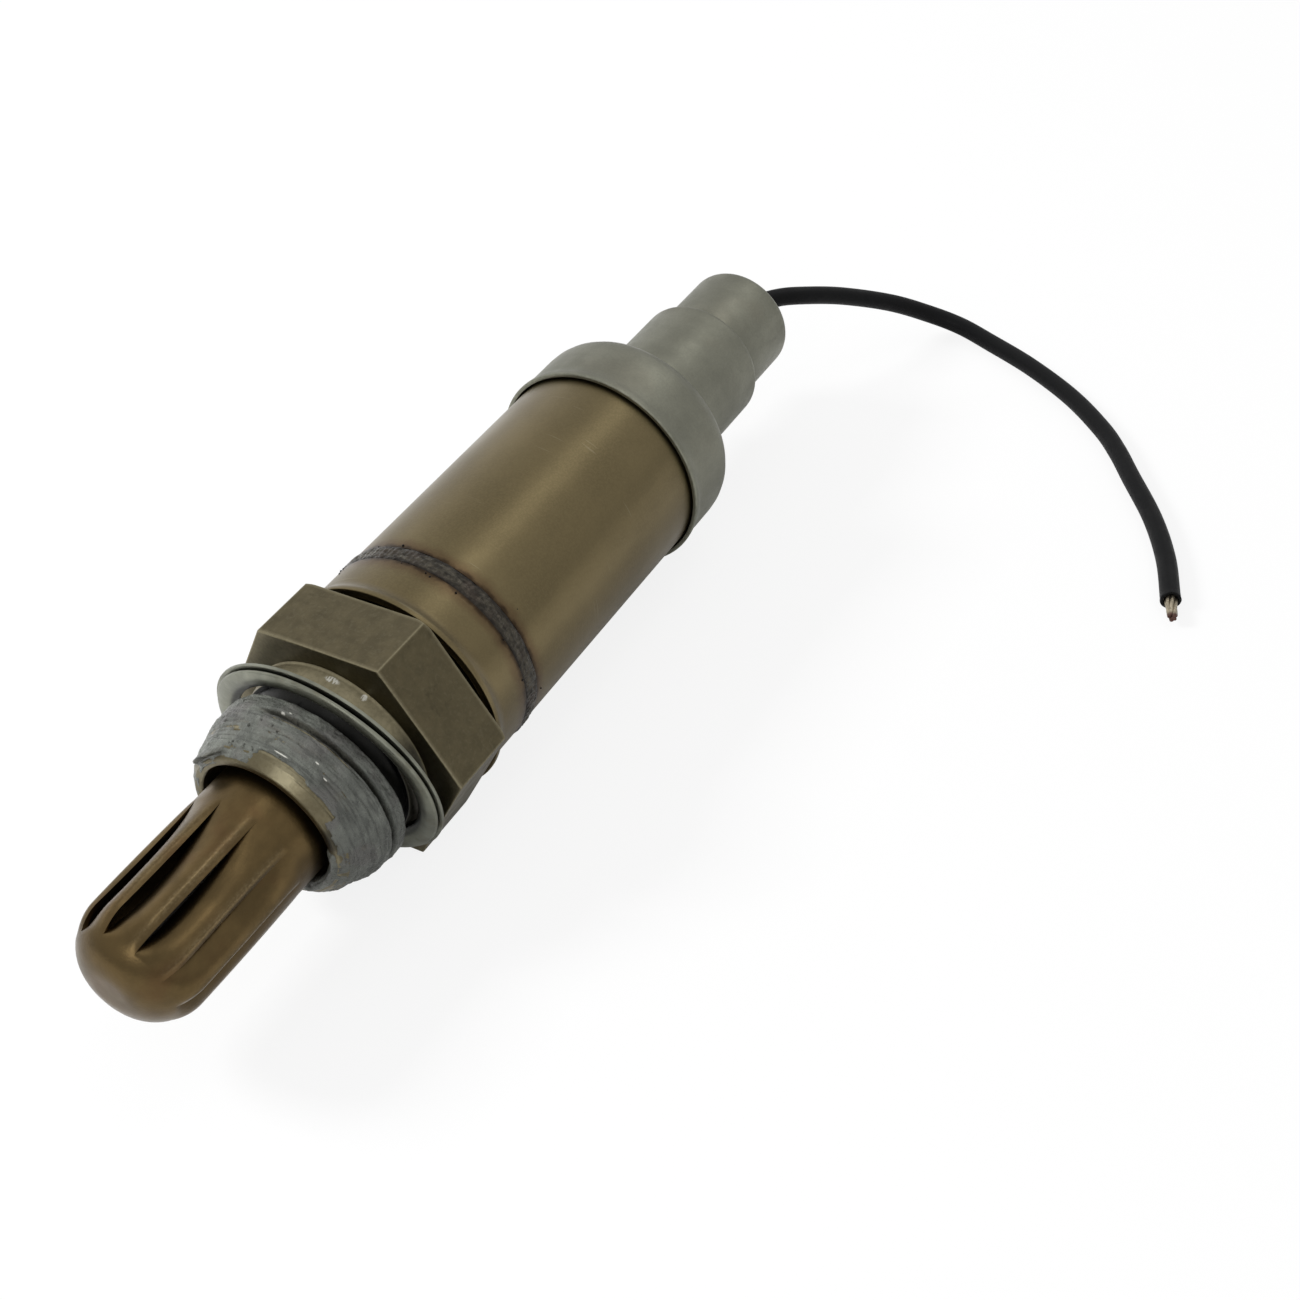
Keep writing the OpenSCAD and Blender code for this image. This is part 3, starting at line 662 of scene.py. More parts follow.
class SENSOR_OT_body(bpy.types.Operator):
    """Cuts the thread and rounds and wears the hexagon"""

    bl_idname = "sensor.body"
    bl_label = "Threaded body"

    def execute(self, context):
        s = sizes()
        finish = plated("olive_plating")
        piece("body_thread", [self.threaded(s)], finish, ["shell"])
        piece("body_hexagon", [self.hexagon(s)], finish, ["shell"])
        return {"FINISHED"}

    def threaded(self, s):
        """Front of the body: bores inside, and the thread outside as a radius of x and angle."""
        front = reach("shell")[0]
        angle = round_table(360)[None]
        floor = front + s.mouth_depth
        inside = outline([
            (s.shoulder_start, s.chamber_radius, 0), (2.0, s.chamber_radius, 0),
            (2.0, s.throat_radius, 0), (floor, s.throat_radius, 0), (floor, s.mouth_radius, 0),
            (front, s.mouth_radius, 0.3), (front, s.front_radius, 0.1)], 4)[:-1]
        run_out = -0.45  # station where the thread's end begins, with finer rows
        x = np.concatenate([np.arange(front + 0.05, run_out, 0.05),
                            np.arange(run_out, 0.001, 0.03)])
        outside = polar(x[:, None], thread(x[:, None], angle, s), angle)
        neck = outline([(0.02, s.neck_radius, 0), (s.shoulder_start, s.neck_radius, 0)], 2)
        lathe = [polar(line[:, :1], line[:, 1:], angle) for line in (inside, neck)]
        points = np.concatenate([lathe[0], outside, lathe[1]])
        flat = 0 * angle
        # Angles in degrees of a painted highlight on the bare chamfer, and of a painted shadow in a
        # recess of the front face
        polished_at, grimy_at = 117, 168  # degrees
        polish = 0.9 * np.exp(-((np.degrees(angle) - polished_at) / 9) ** 2)
        # worn: real wear on the crests and the bare front face, and the chamfer's painted highlight
        wear = np.concatenate([
            smooth(inside[:, :1], floor, front) * 0.3 + flat,
            np.maximum(smooth(crest(x[:, None], angle, s), 0.14, 0.02) * 0.9,
                       smooth(x[:, None], front + 1.3, front + 1.1) * (0.3 + polish)),
            np.zeros((len(neck), 1)) + flat])
        # Painted shadow: a dark recess on the front face and chamfer, round the second angle
        recess = 0.8 * np.exp(-((np.degrees(angle) - grimy_at) / 11) ** 4)
        # Grease and painted shade: the recess, the thread's end under the last coil, and the neck
        grime = np.concatenate([recess * (inside[:, :1] < floor - 0.5),
                                np.maximum(smooth(x[:, None], -1.2, -0.3) * 0.8,
                                           recess * (x[:, None] < front + 1.0)),
                                np.ones((len(neck), 1)) + flat])
        return skin(points, close_rows=True, worn=wear, grime=grime)

    def hexagon(self, s):
        """Shoulder, hexagon and tail as one closed lathe whose radius varies with the angle.

        At b from a corner's direction the hexagon's radius is its half width over cos(30 - b),
        and close to the corner that of a small circle that touches both flats. The back chamfer
        is a cone of 30 degrees, and every edge has a small bevel.
        """
        tail_end = reach("shell")[1]
        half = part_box("shell")[1].z / MM
        # Angles from one corner to the next, close together where its rounding and wear are
        tight = np.radians([0, 0.2, 0.4, 0.6, 0.85, 1.2, 1.7, 2.4, 3.4, 5, 7, 9, 11, 13.5, 16,
                            18.5, 21, 23.5, 26, 28])
        b = np.concatenate([tight, [np.pi / 6], np.pi / 3 - tight[:0:-1]])
        angle = (np.arange(6)[:, None] * np.pi / 3 + b[None]).ravel()[None]
        b = np.minimum(angle % (np.pi / 3), np.pi / 3 - angle % (np.pi / 3))
        ball = 2.0 * s.hex_round
        centre = (half - ball) / math.cos(math.pi / 6)
        touch = math.atan2(ball * 0.5, centre + ball * math.cos(math.pi / 6))
        flat = half / np.cos(np.pi / 6 - b)
        corner = centre * np.cos(b) + np.sqrt(np.maximum(
            ball**2 - (centre * np.sin(b))**2, 0))
        hexagon = np.where(b < touch, corner, flat)
        edge = s.hex_round
        cone = half / math.cos(math.pi / 6) - s.hex_chamfer
        back = np.minimum(hexagon - edge, cone)
        slope = math.tan(math.radians(30))
        brim = np.minimum(s.hex_end - (hexagon - cone) * slope, s.hex_end - edge)
        rows, wear, dirt, marks = [], [], [], []

        def ring(x, radius, worn=0.0, grime=0.0, scuff=0.0):
            rows.append(polar(x, radius, angle))
            for values, value in ((wear, worn), (dirt, grime), (marks, scuff)):
                values.append(np.broadcast_to(value, angle.shape))

        def scuffs(x):
            """Two painted highlights on the shoulder, shaped as scuffs."""
            return sum(np.exp(-((np.degrees(angle) - middle) / wide) ** 2
                              - ((x - station) / 0.3) ** 2)
                       for middle, wide, station in ((100.5, 4.5, 3.9), (120.5, 1.8, 4.1)))

        # The first brightens the hexagon's front face as painted light; the other two are worn
        # edges
        front_wear, edge_wear, brim_wear = 0.35, 0.7, 0.6
        corner_wear = 0.6 * np.exp(-((b * hexagon / 0.10) ** 2))
        foot, brow = s.shoulder_radius - 0.1, s.shoulder_radius + 0.4
        # Painted shade: the shoulder is darkened on its low side, about this angle
        low_side = 240  # degrees, where grease has stayed on the shoulder
        under = smooth(np.abs(np.degrees(angle) - low_side), 100, 78)
        # Grease and painted shade: the undercut's face and the shoulder's foot are dark
        ring(s.shoulder_start, s.chamber_radius, grime=1.0)
        ring(s.shoulder_start, s.neck_radius, grime=1.0)
        ring(s.shoulder_start, foot - 0.05, grime=1.0)
        # The shoulder: its worn value of 0.8 is painted light that makes the band look lit
        for share in np.linspace(0, 1, 12):
            x = s.shoulder_start + 0.05 + share * (s.hex_start - s.shoulder_start - 0.15)
            ring(x, foot + share * (brow - foot), 0.8, 0.85 * under, scuffs(x))
        for share in (0.0, 0.15, 0.35, 0.6, 0.8, 0.92, 0.97):
            face = brow + 0.1 + share * (hexagon - edge - brow - 0.1)
            ring(s.hex_start, face, front_wear)
        for t in (0.0, 0.5, 1.0):
            ring(s.hex_start + edge * (1 - math.cos(t * math.pi / 2)),
                 hexagon - edge * (1 - math.sin(t * math.pi / 2)), edge_wear)
        for t, near in ((0.02, 0.3), (0.05, 0), (0.3, 0), (0.5, 0), (0.7, 0), (0.95, 0),
                        (0.98, 0.3)):
            ring(s.hex_start + edge + t * (brim - s.hex_start - edge), hexagon,
                 np.maximum(corner_wear, near))
        ring(brim, hexagon, brim_wear)
        ring(brim + 0.5 * (s.hex_end - brim), hexagon + 0.5 * (back - hexagon), 0.5)
        ring(s.hex_end + 0 * brim, back, brim_wear)
        ring(s.hex_end, back - 0.35, 0.0)
        for x, radius in outline([
                (s.hex_end, s.tail_radius + 0.4, 0), (s.hex_end, s.tail_radius, 0.15),
                (tail_end, s.tail_radius, 0.2), (tail_end, s.tail_bore, 0),
                (tail_end - s.tail_depth, s.tail_bore, 0),
                (tail_end - s.tail_depth, s.chamber_radius, 0)], 4):
            ring(x, radius)
        return skin(np.concatenate(rows), close_rows=True, worn=np.concatenate(wear),
                    grime=np.concatenate(dirt), scuff=np.concatenate(marks))


def paste_finish():
    """Grey metallic paste: violet in patches, olive where it is thin, with painted shade in its
    hollows and creases and painted glints.
    """
    f = Finish("grey_paste", metallic=0.35)
    clouds = f.noise(2.2, detail=5, rough=0.6)
    base = f.tint("paste", 0.9, 1.08, clouds, 0.35, 0.65)
    base = f.mix(f.span(f.noise(4.0, detail=2), 0.5, 0.66, 0, 0.5), base, PASTE_VIOLET)
    base = f.mix(f.calc("MULTIPLY", f.value("thin"), 0.3), base, PASTE_OLIVE)
    streaks = f.noise(0.16, (1, 9, 9), detail=4, rough=0.6, bend=0.4)
    # Painted shade: darker in the creases between the streaks
    base = f.mix(f.span(streaks, 0.3, 0.5, 0.25, 0), base, paint("paste", 0.65))
    # Painted shade: darker in the hollows, pits and the groove
    base = f.mix(f.span(f.value("hollow"), 0.6, 1.15, 0, 0.6), base, paint("paste", 0.4))
    # Painted highlights: bright glints at the given spots
    base = f.mix(f.span(f.value("glint"), 0.3, 0.8), base, PASTE_GLINT)
    lumps = f.noise(0.22, detail=4, rough=0.65)
    f.relief(streaks, 0.05)
    f.relief(lumps, 0.09)
    return f.done(base, f.span(lumps, 0.35, 0.7, 0.5, 0.24))


class SENSOR_OT_paste(bpy.types.Operator):
    """Smears the grey paste over the thread"""

    bl_idname = "sensor.paste"
    bl_label = "Paste"

    def execute(self, context):
        s = sizes()
        piece("thread_paste", [self.smear(s)], paste_finish(), crease=60)
        return {"FINISHED"}

    def smear(self, s):
        """Closed ring of paste: a base line over the metal, raised by a varying thickness.

        The base line runs along the thread, down its taper and chamfer, over the front face and
        into the mouth, and its way back lies inside the metal. A point is base + thickness *
        normal, so the paste vanishes into the metal wherever its thickness is below zero.
        """
        front = reach("shell")[0]
        rise = s.front_radius + s.front_chamfer
        edge = front + s.front_chamfer
        mouth = s.mouth_radius
        angle = round_table(640)[None]
        degrees = np.degrees(angle)
        path = outline([
            (0.6, s.thread_radius, 0), (edge + s.taper_length, s.thread_radius, 0.9),
            (edge, rise, 0.35), (front, s.front_radius, 0.35), (front, mouth + 0.3, 0.12),
            (front + 0.3, mouth, 0.12), (front + 1.0, mouth, 0)], 9)
        walked = np.concatenate([[0], np.cumsum(np.hypot(*np.diff(path, axis=0).T))])
        run = np.linspace(0, walked[-1], 136)
        x, r = (np.interp(run, walked, path[:, k])[:, None] for k in (0, 1))
        step_x, step_r = (np.gradient(v[:, 0])[:, None] for v in (x, r))
        size = np.hypot(step_x, step_r)
        n_x, n_r = step_r / size, -step_x / size
        run = run[:, None]
        corner = run[np.argmin(np.hypot(x - edge, r - rise))]
        brim = run[np.argmin(np.hypot(x - front, r - s.front_radius))]
        place = polar(x, r, angle)

        # Random fields: drawn-out streaks with sharp hollows, lumps, grain and torn edges
        drag = np.minimum(np.abs(bumps(place * [1, 0.11, 0.11], 0.42, 5, 3)), 1)
        lumps = bumps(place, 1.1, 9, 3)
        fine = bumps(place, 0.34, 23, 3)
        torn = bumps(place, 0.9, 31, 3)

        def near(middle, reach_in, reach_out):
            """1 within reach_in degrees of an angle, and 0 past reach_out, with a torn edge."""
            away = np.abs((degrees - middle + 180) % 360 - 180)
            return smooth(away + 3 * torn, reach_out, reach_in)

        # Over the thread, in its turns: a coated last coil, an open groove, then a smear in which
        # the metal of one crest glints and another lies under thin paste
        last_coil, groove_at, smear_from, smear_to = -0.06, -0.69, -0.72, -0.66
        glint_crest, thin_crest = -0.93, -1.56
        turn = turns(x, angle, s)
        low = near(215, 30, 90)
        coil = 0.12 + 0.48 * low + 0.08 * lumps + 0.05 * fine
        coil = coil - 1.05 * smooth(np.abs(turn - last_coil), 0.34, 0.62)
        level = 0.14 * smooth(x, -3.6, -2.2) + 0.11 * drag + 0.07 * lumps + 0.03 * fine
        level = level + 0.3 * low * smooth(x, -4.2, -2.2) + 0.06 * smooth(x, -3.4, -4.6)
        level = level - 0.12 * smooth(np.abs(turn - thin_crest), 0.26, 0.06) * near(140, 40, 80)
        pits = smooth(fine + 0.4 * lumps, 0.75, 1.05) * near(84, 18, 40)
        level = level - 0.18 * pits
        glint = smooth(np.abs(turn - glint_crest), 0.10, 0.04) * near(116, 18, 40)
        level = level * (1 - glint) - 0.05 * glint
        open_to = near(205, 100, 134)
        behind = smooth(turn, smear_from, smear_to) * open_to
        along = level * (1 - behind) + coil * behind
        groove = smooth(np.abs(turn - groove_at), 0.17, 0.08) * open_to
        along = along * (1 - groove) - 0.72 * groove
        along = along - 1.2 * smooth(x, 0.0, 0.45) * (1 - behind)
        # Spots of painted highlight, as glints, at station, angle and width
        glints = sum(np.exp(-((x - station) / 0.06) ** 2 - ((degrees - middle) / wide) ** 4)
                     for station, middle, wide in ((-4.42, 107.5, 5.2), (-4.9, 106, 4.5),
                                                   (-1.2, 93, 1.6), (-1.0, 97, 1.2),
                                                   (-3.3, 126, 1.4), (-3.8, 135, 1.6)))

        # Over the chamfer and the front face: bare metal on top, and a lip and a fin of paste
        over = 0.06 * drag + 0.05 * lumps + 0.03 * fine
        over = over + 0.24 * near(214, 32, 40) * smooth(run, brim - 0.1, brim + 0.35)
        past = smooth(run, corner - 0.3, corner + 0.1)
        thick = along * (1 - past) + over * past
        hold = torn * 0.12
        bare = np.maximum.reduce([
            near(*zone) * smooth(run + hold, start, end) for zone, start, end in (
                ((130, 24, 27), corner - 0.34, corner - 0.2),
                ((112, 14, 18), corner - 0.6, corner - 0.45),
                ((121, 55, 60), brim - 0.3, brim - 0.1),
                ((26, 50, 60), brim + 0.3, brim + 0.42))])
        sunk, hidden_rows = 0.35, 4
        thick = thick * (1 - bare) - sunk * bare
        thick[-hidden_rows:] = -0.25
        fin = near(52, 8, 20) * np.exp(-((run - corner - 0.35) / 0.26) ** 2)
        fin = fin * (1.0 + 0.12 * lumps)

        outer = polar(x + thick * n_x - fin, r + thick * n_r + 0.3 * fin, angle)
        core = 0.5 * (mouth + rise) - 0.2
        way_back = np.array([[front + 1.0], [front + 3.0], [-1.5], [0.5]])
        inner = polar(way_back, core, angle)
        # Where the paste is darkened by painted shade: its hollows, pits and the groove
        hollow = np.maximum(1 - drag, pits) + groove
        thin = smooth(thick, 0.05, -0.03)
        blank = np.zeros((len(way_back), angle.size))
        return skin(np.concatenate([outer, inner]), close_rows=True,
                    hollow=np.concatenate([hollow, blank]), thin=np.concatenate([thin, blank]),
                    glint=np.concatenate([glints, blank]))


class SENSOR_OT_gasket(bpy.types.Operator):
    """Folds the gasket from one sheet and hangs it on the shoulder"""

    bl_idname = "sensor.gasket"
    bl_label = "Gasket"

    def execute(self, context):
        s = sizes()
        f = Finish("gasket_sheet", metallic=1.0)
        clouds = f.noise(2.5, detail=5)
        base = f.tint("gasket", 0.88, 1.06, clouds)
        lines = f.noise(0.12, (30, 30, 1), detail=2)
        stain = f.noise(3.2, detail=3)
        base = f.mix(f.span(stain, 0.55, 0.75, 0, 0.5), base, paint("sleeve", 0.9))
        base = f.mix(f.span(f.value("fold"), 0.0, 1.0, 0, 0.75), base, FOLD_SHADE)
        f.relief(lines, 0.01)
        f.relief(f.noise(0.4, detail=4), 0.02)
        piece("gasket", [self.folded(s)], f.done(base, 0.4), ["seal_gasket"])
        return {"FINISHED"}

    def folded(self, s):
        """Ring of two sheets with a rounded fold: an outline turned about X, waved and leant.

        Its place is centre + turn(-lean) (x + wave, r cos a, r sin a), and the centre is that of
        its solid's box.
        """
        low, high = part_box("seal_gasket")
        outer = (high.y - low.y) / 2 / MM
        half, t = s.gasket_thickness / 2, s.gasket_sheet
        line = outline([
            (half, outer, 0.08), (half - t, outer, 0.08), (half - t, s.gasket_hole + 0.8, 0.05),
            (t - half + 0.1, s.gasket_hole + 0.8, 0.05), (t - half + 0.1, outer - 0.3, 0.06),
            (0.12 - half, outer - 0.3, 0.2), (-half - 0.12, outer - 1.05, 0.4),
            (-half + 0.12, outer - 2.0, 0.5), (half - 0.3, s.gasket_hole, 0.3),
            (half, s.gasket_hole + 0.3, 0.2)], 8)
        angle = round_table(360)[None]
        x, r = line[:, :1], line[:, 1:]
        wave = 0.05 * np.sin(2 * angle + 0.7) + 0.03 * np.sin(5 * angle)
        wave = wave * smooth(r, s.gasket_hole, outer) * np.where(x < 0, 1.0, -0.4)
        place = polar(x + wave, r + 0.03 * np.sin(3 * angle), angle)
        centre_x = (low.x + high.x) / 2 / MM
        tilt = np.array(Matrix.Rotation(-s.gasket_lean, 3, "Y"))
        fold = np.maximum(smooth(r, s.gasket_hole + 0.95, s.gasket_hole + 0.45) * (x < 0.2),
                          smooth(r, outer - 0.36, outer - 0.7) * (np.abs(x - 0.1) < 0.16))
        return skin(place @ tilt.T + [centre_x, 0, 0], close_rows=True, fold=fold)


class SENSOR_OT_probe(bpy.types.Operator):
    """Slits the probe tube and pushes its louvres in"""

    bl_idname = "sensor.probe"
    bl_label = "Probe"

    def execute(self, context):
        s = sizes()
        finish = self.finish()
        piece("probe", self.louvred(s), finish, ["protection_tube"],
              wall=s.probe_wall, crease=50)
        return {"FINISHED"}

    def finish(self):
        """Bronze tint with clouds and reddish patches, a painted highlight along the ribs, painted
        shade in the pushed-in louvres and towards the tip.
        """
        f = Finish("bronze_tube", metallic=1.0)
        clouds = f.noise(3.2, (1.4, 1, 1), detail=5, rough=0.6)
        base = f.tint("probe", 0.88, 1.06, clouds)
        base = f.mix(f.span(f.noise(5.5, detail=2), 0.52, 0.72, 0, 0.5), base, PROBE_RED)
        specks = f.noise(0.2, (1.4, 1, 1), detail=3)
        # Painted highlight along each rib, with lower roughness there
        rub = f.calc("MULTIPLY", f.value("ridge"), f.span(specks, 0.4, 0.7, 0.15, 0.4))
        base = f.mix(rub, base, PROBE_RUB)
        # Painted shade: darker where the louvres are pushed in
        base = f.mix(f.span(f.value("pushed"), 0.05, 1.0, 0, 0.45), base, paint("probe", 0.5))
        # Painted shade: darker towards the tip
        tip = reach("protection_tube")[0] * MM
        dull = f.span(f.station(), tip + 6 * MM, tip + 1 * MM, 0, 0.3)
        base = f.mix(dull, base, paint("probe", 0.75))
        f.relief(f.noise(0.11, (1, 30, 30), detail=2), 0.006)
        f.relief(specks, 0.012)
        rough = f.span(clouds, 0.3, 0.7, 0.37, 0.28)
        return f.done(base, f.calc("SUBTRACT", rough, f.calc("MULTIPLY", rub, 0.08)))

    def louvred(self, s):
        """Sectors between neighbouring slits, each a grid over the outline and the angle.

        A point lies on the outline, moved in along its normal by D l(t) (1 - u / 0.86)^1.7,
        where t runs along the louvre, l is its bulge, and u runs from 0 at the pushed-in edge to
        1 at the next slit. The rib before that slit is lifted and its edge rolled in. Both edges
        meet past the louvre's ends.
        """
        tip = reach("protection_tube")[0]
        radius, nose = s.probe_radius, s.nose_radius
        arc = np.linspace(0, math.pi / 2, 26)
        flange, rim = 2.0, s.chamber_radius - 0.1  # the collar that the body holds
        start, end = tip + s.louvre_setback, tip + s.louvre_setback + s.louvre_length
        x_nose = tip + nose * (1 - np.cos(arc))
        r_nose = radius - nose + nose * np.sin(arc)
        flat = np.linspace(0, radius - nose, 4)[:-1]
        fine, coarse = 0.17, 0.6  # distance of the rows along the louvres and behind them
        x_side = np.concatenate([
            np.arange(tip + nose + fine, end + 0.4, fine),
            np.arange(end + 0.5, flange - 0.2, coarse), [flange - 0.1, flange]])
        x = np.concatenate([np.full(3, tip), x_nose, x_side, [flange, flange]])
        r = np.concatenate([flat, r_nose, np.full(len(x_side), radius), [radius + 0.1, rim]])
        slope_x = np.gradient(x)
        slope_r = np.gradient(r)
        size = np.hypot(slope_x, slope_r)
        n_x, n_r = -slope_r / size, slope_x / size
        n_x[-3:], n_r[-3:] = 0, 0
        inside = (x > start) & (x < end) & (r > 0.6 * radius)
        t = np.clip((x - start) / (end - start), 0, 1)
        bulge = np.where(inside, np.sin(np.pi * t**0.62) ** 0.95, 0)
        proud = np.where(inside, np.sin(np.pi * t) ** 0.5, 0)
        u = np.concatenate([np.linspace(0, 0.2, 7)[:-1], np.linspace(0.2, 0.8, 14)[:-1],
                            np.linspace(0.8, 1.0, 8)])
        reach_u = np.clip(1 - u / 0.86, 0, 1)
        rib_lift, rib_roll = 0.14, 0.42
        skins = []
        for k in range(s.louvre_count):
            step = TURN / s.louvre_count
            angle = s.louvre_start + (k + u[None]) * step
            own = 1 + 0.08 * math.sin(2.4 * k)
            pushed = s.louvre_depth * own * bulge[:, None] * reach_u[None] ** 1.7
            lift = rib_lift * proud[:, None] * smooth(u[None], 0.35, 0.8)
            rolled = rib_roll * proud[:, None] * smooth(u[None], 0.78, 1.04) ** 2
            move = lift - rolled - pushed
            # Where the rib's painted highlight lies
            ridge = proud[:, None] * np.exp(-((u[None] - 0.84) / 0.09) ** 2)
            place = polar(x[:, None] + n_x[:, None] * move, r[:, None] + n_r[:, None] * move, angle)
            skins.append(skin(place, close_columns=False, ridge=ridge,
                              pushed=pushed / s.louvre_depth))
        return skins


class SENSOR_OT_sleeves(bpy.types.Operator):
    """Turns the short and the long sleeve"""

    bl_idname = "sensor.sleeves"
    bl_label = "Sleeves"

    def execute(self, context):
        s = sizes()
        finish = self.finish()
        x0, x1, flare = reach("collar_sleeve")
        inner = s.tail_radius + 0.05
        outer = flare - 0.45
        piece("collar", [turned([
            (x0, inner + 0.45, 0.08), (x0, flare, 0.12), (x0 + 0.45, flare, 0.2),
            (x0 + 1.35, outer, 0.5), (x1, outer, 0.02), (x1, inner, 0),
            (x0 + 1.35, inner, 0.5)], 360)], finish, ["collar_sleeve"])
        x0, x1, outer = reach("sleeve")
        piece("long_sleeve", [turned([
            (x0, inner, 0), (x0, outer, 0.02), (x1, outer, 0.15), (x1, inner, 0)], 360)],
            finish, ["sleeve"])
        return {"FINISHED"}

    def finish(self):
        """Satin bronze sheet: clouds, fine grain, heat tint by the weld, and a few scratches."""
        f = Finish("bronze_sheet", metallic=1.0)
        clouds = f.noise(7.0, (1.6, 1, 1), detail=5, rough=0.55)
        base = f.tint("sleeve", 0.94, 1.04, clouds)
        fine = f.noise(0.2, detail=3)
        base = f.mix(f.span(fine, 0.35, 0.7, 0, 0.4), base, paint("sleeve", 1.12))
        smudge = f.noise(0.5, (1, 3.5, 1), detail=4, rough=0.7)
        base = f.mix(f.span(smudge, 0.70, 0.80, 0, 0.5), base, paint("sleeve", 0.5))
        x0, x1, _ = reach("weld_bead")
        wander = f.calc("MULTIPLY", f.calc("SUBTRACT", f.noise(1.2, detail=4), 0.5), 1.1 * MM)
        middle = f.calc("SUBTRACT", f.calc("ADD", f.station(), wander), 0.5 * (x0 + x1) * MM)
        from_weld = f.calc("ABSOLUTE", middle, 0)
        half = 0.5 * (x1 - x0) * MM
        base = f.mix(f.span(from_weld, half + 0.3 * MM, half + 1.6 * MM, 0.55, 0), base,
                     HEAT_BROWN)
        base = f.mix(f.span(from_weld, half, half + 0.55 * MM, 0.8, 0), base, HEAT_BLACK)
        scratch = f.noise(0.3, (1, 22, 22), detail=1)
        f.relief(f.noise(0.1, (1, 40, 40), detail=2), 0.005)
        f.relief(fine, 0.008)
        base = f.mix(f.span(scratch, 0.74, 0.78, 0, 0.3), base, paint("worn"))
        return f.done(base, f.span(clouds, 0.25, 0.75, 0.38, 0.31))


class SENSOR_OT_weld(bpy.types.Operator):
    """Lays the weld between the sleeves, with its spatter"""

    bl_idname = "sensor.weld"
    bl_label = "Weld"

    def execute(self, context):
        s = sizes()
        f = Finish("oxidised_weld", metallic=0.8)
        lumps = f.noise(0.4, (1, 2.5, 2.5), detail=5, rough=0.6)
        base = f.tint("weld", 0.7, 1.3, lumps)
        base = f.mix(f.span(f.noise(2.0, detail=3), 0.45, 0.7, 0, 0.5), base, WELD_OXIDE)
        base = f.mix(f.value("soot"), base, SOOT)
        f.relief(f.noise(0.14, (1, 2, 2), detail=4, rough=0.6), 0.04)
        finish = f.done(base, f.span(lumps, 0.3, 0.7, 0.5, 0.24))
        piece("weld", [self.bead(s), *self.spatter()], finish, ["weld_bead"], crease=60)
        return {"FINISHED"}

    def bead(self, s):
        """Crowned ring: radius = sleeve + crown (1 - v^2)^0.6 + ripples + bumps, v from -1 to 1.

        The ripples are arcs that follow the torch, sin(120 a - 3 v^2) at the angle a, and both
        edges wander over the sleeves by a tenth of a millimetre.
        """
        x0, x1, top = reach("weld_bead")
        outer = reach("sleeve")[2]
        inner = s.tail_radius + 0.05
        angle = round_table(1080)[None]
        v = np.linspace(-1, 1, 28)[:, None]
        line = polar(0 * v, outer + 0 * v, angle)
        left = 0.07 * bumps(line, 1.0, 3, 3)[:1] - 0.02
        right = 0.09 * bumps(line, 1.2, 4, 3)[:1] - 0.04
        x = (x0 - left) + (v + 1) / 2 * (x1 - x0 + left + right)
        place = polar(x, outer, angle)
        crown = (top - outer) * 0.3 * (1 - v**2) ** 0.6
        ripple_count, ripple_height = 120, 0.025
        ripple = ripple_height * np.sin(ripple_count * angle - 3 * v**2) * (1 - v**2)
        rough = s.weld_rough * (bumps(place, 0.6, 7, 3) + 0.6 * bumps(place, 0.25, 8, 2))
        radius = outer + 0.03 + crown + ripple + rough * (1 - 0.6 * v**4)
        top_skin = polar(x, radius, angle)
        foot = np.concatenate([polar(x[-1:], outer - 0.05, angle), polar(x1 - 0.01, inner, angle),
                               polar(x0 + 0.01, inner, angle), polar(x[:1], outer - 0.05, angle)])
        soot = np.concatenate([smooth(np.abs(v), 0.45, 1.0) * 0.75 + 0 * angle,
                               np.zeros((4, angle.size))])
        return skin(np.concatenate([top_skin, foot]), close_rows=True, soot=soot)

    def spatter(self):
        """Small balls beside the bead, each sunk into its sleeve by a quarter of its height."""
        x0, x1, _ = reach("weld_bead")
        outer = reach("sleeve")[2]
        count, smallest, largest = 34, 0.04, 0.12
        luck = np.random.default_rng(12)
        up = np.linspace(0, np.pi, 7)[:, None]
        round_ = round_table(10)[None]
        ball = np.stack(np.broadcast_arrays(
            np.cos(up), np.sin(up) * np.cos(round_), np.sin(up) * np.sin(round_)), -1)
        skins = []
        for _ in range(count):
            size = luck.uniform(smallest, largest)
            side = luck.random() < 0.7
            x = x0 - luck.exponential(0.35) if side else x1 + luck.exponential(0.5)
            centre = polar(x, outer + 0.5 * size, luck.uniform(0, TURN))
            squash = luck.uniform(0.7, 1.3, 3)
            skins.append(skin(centre + size * ball * squash, soot=np.ones((7, 10))))
        return skins


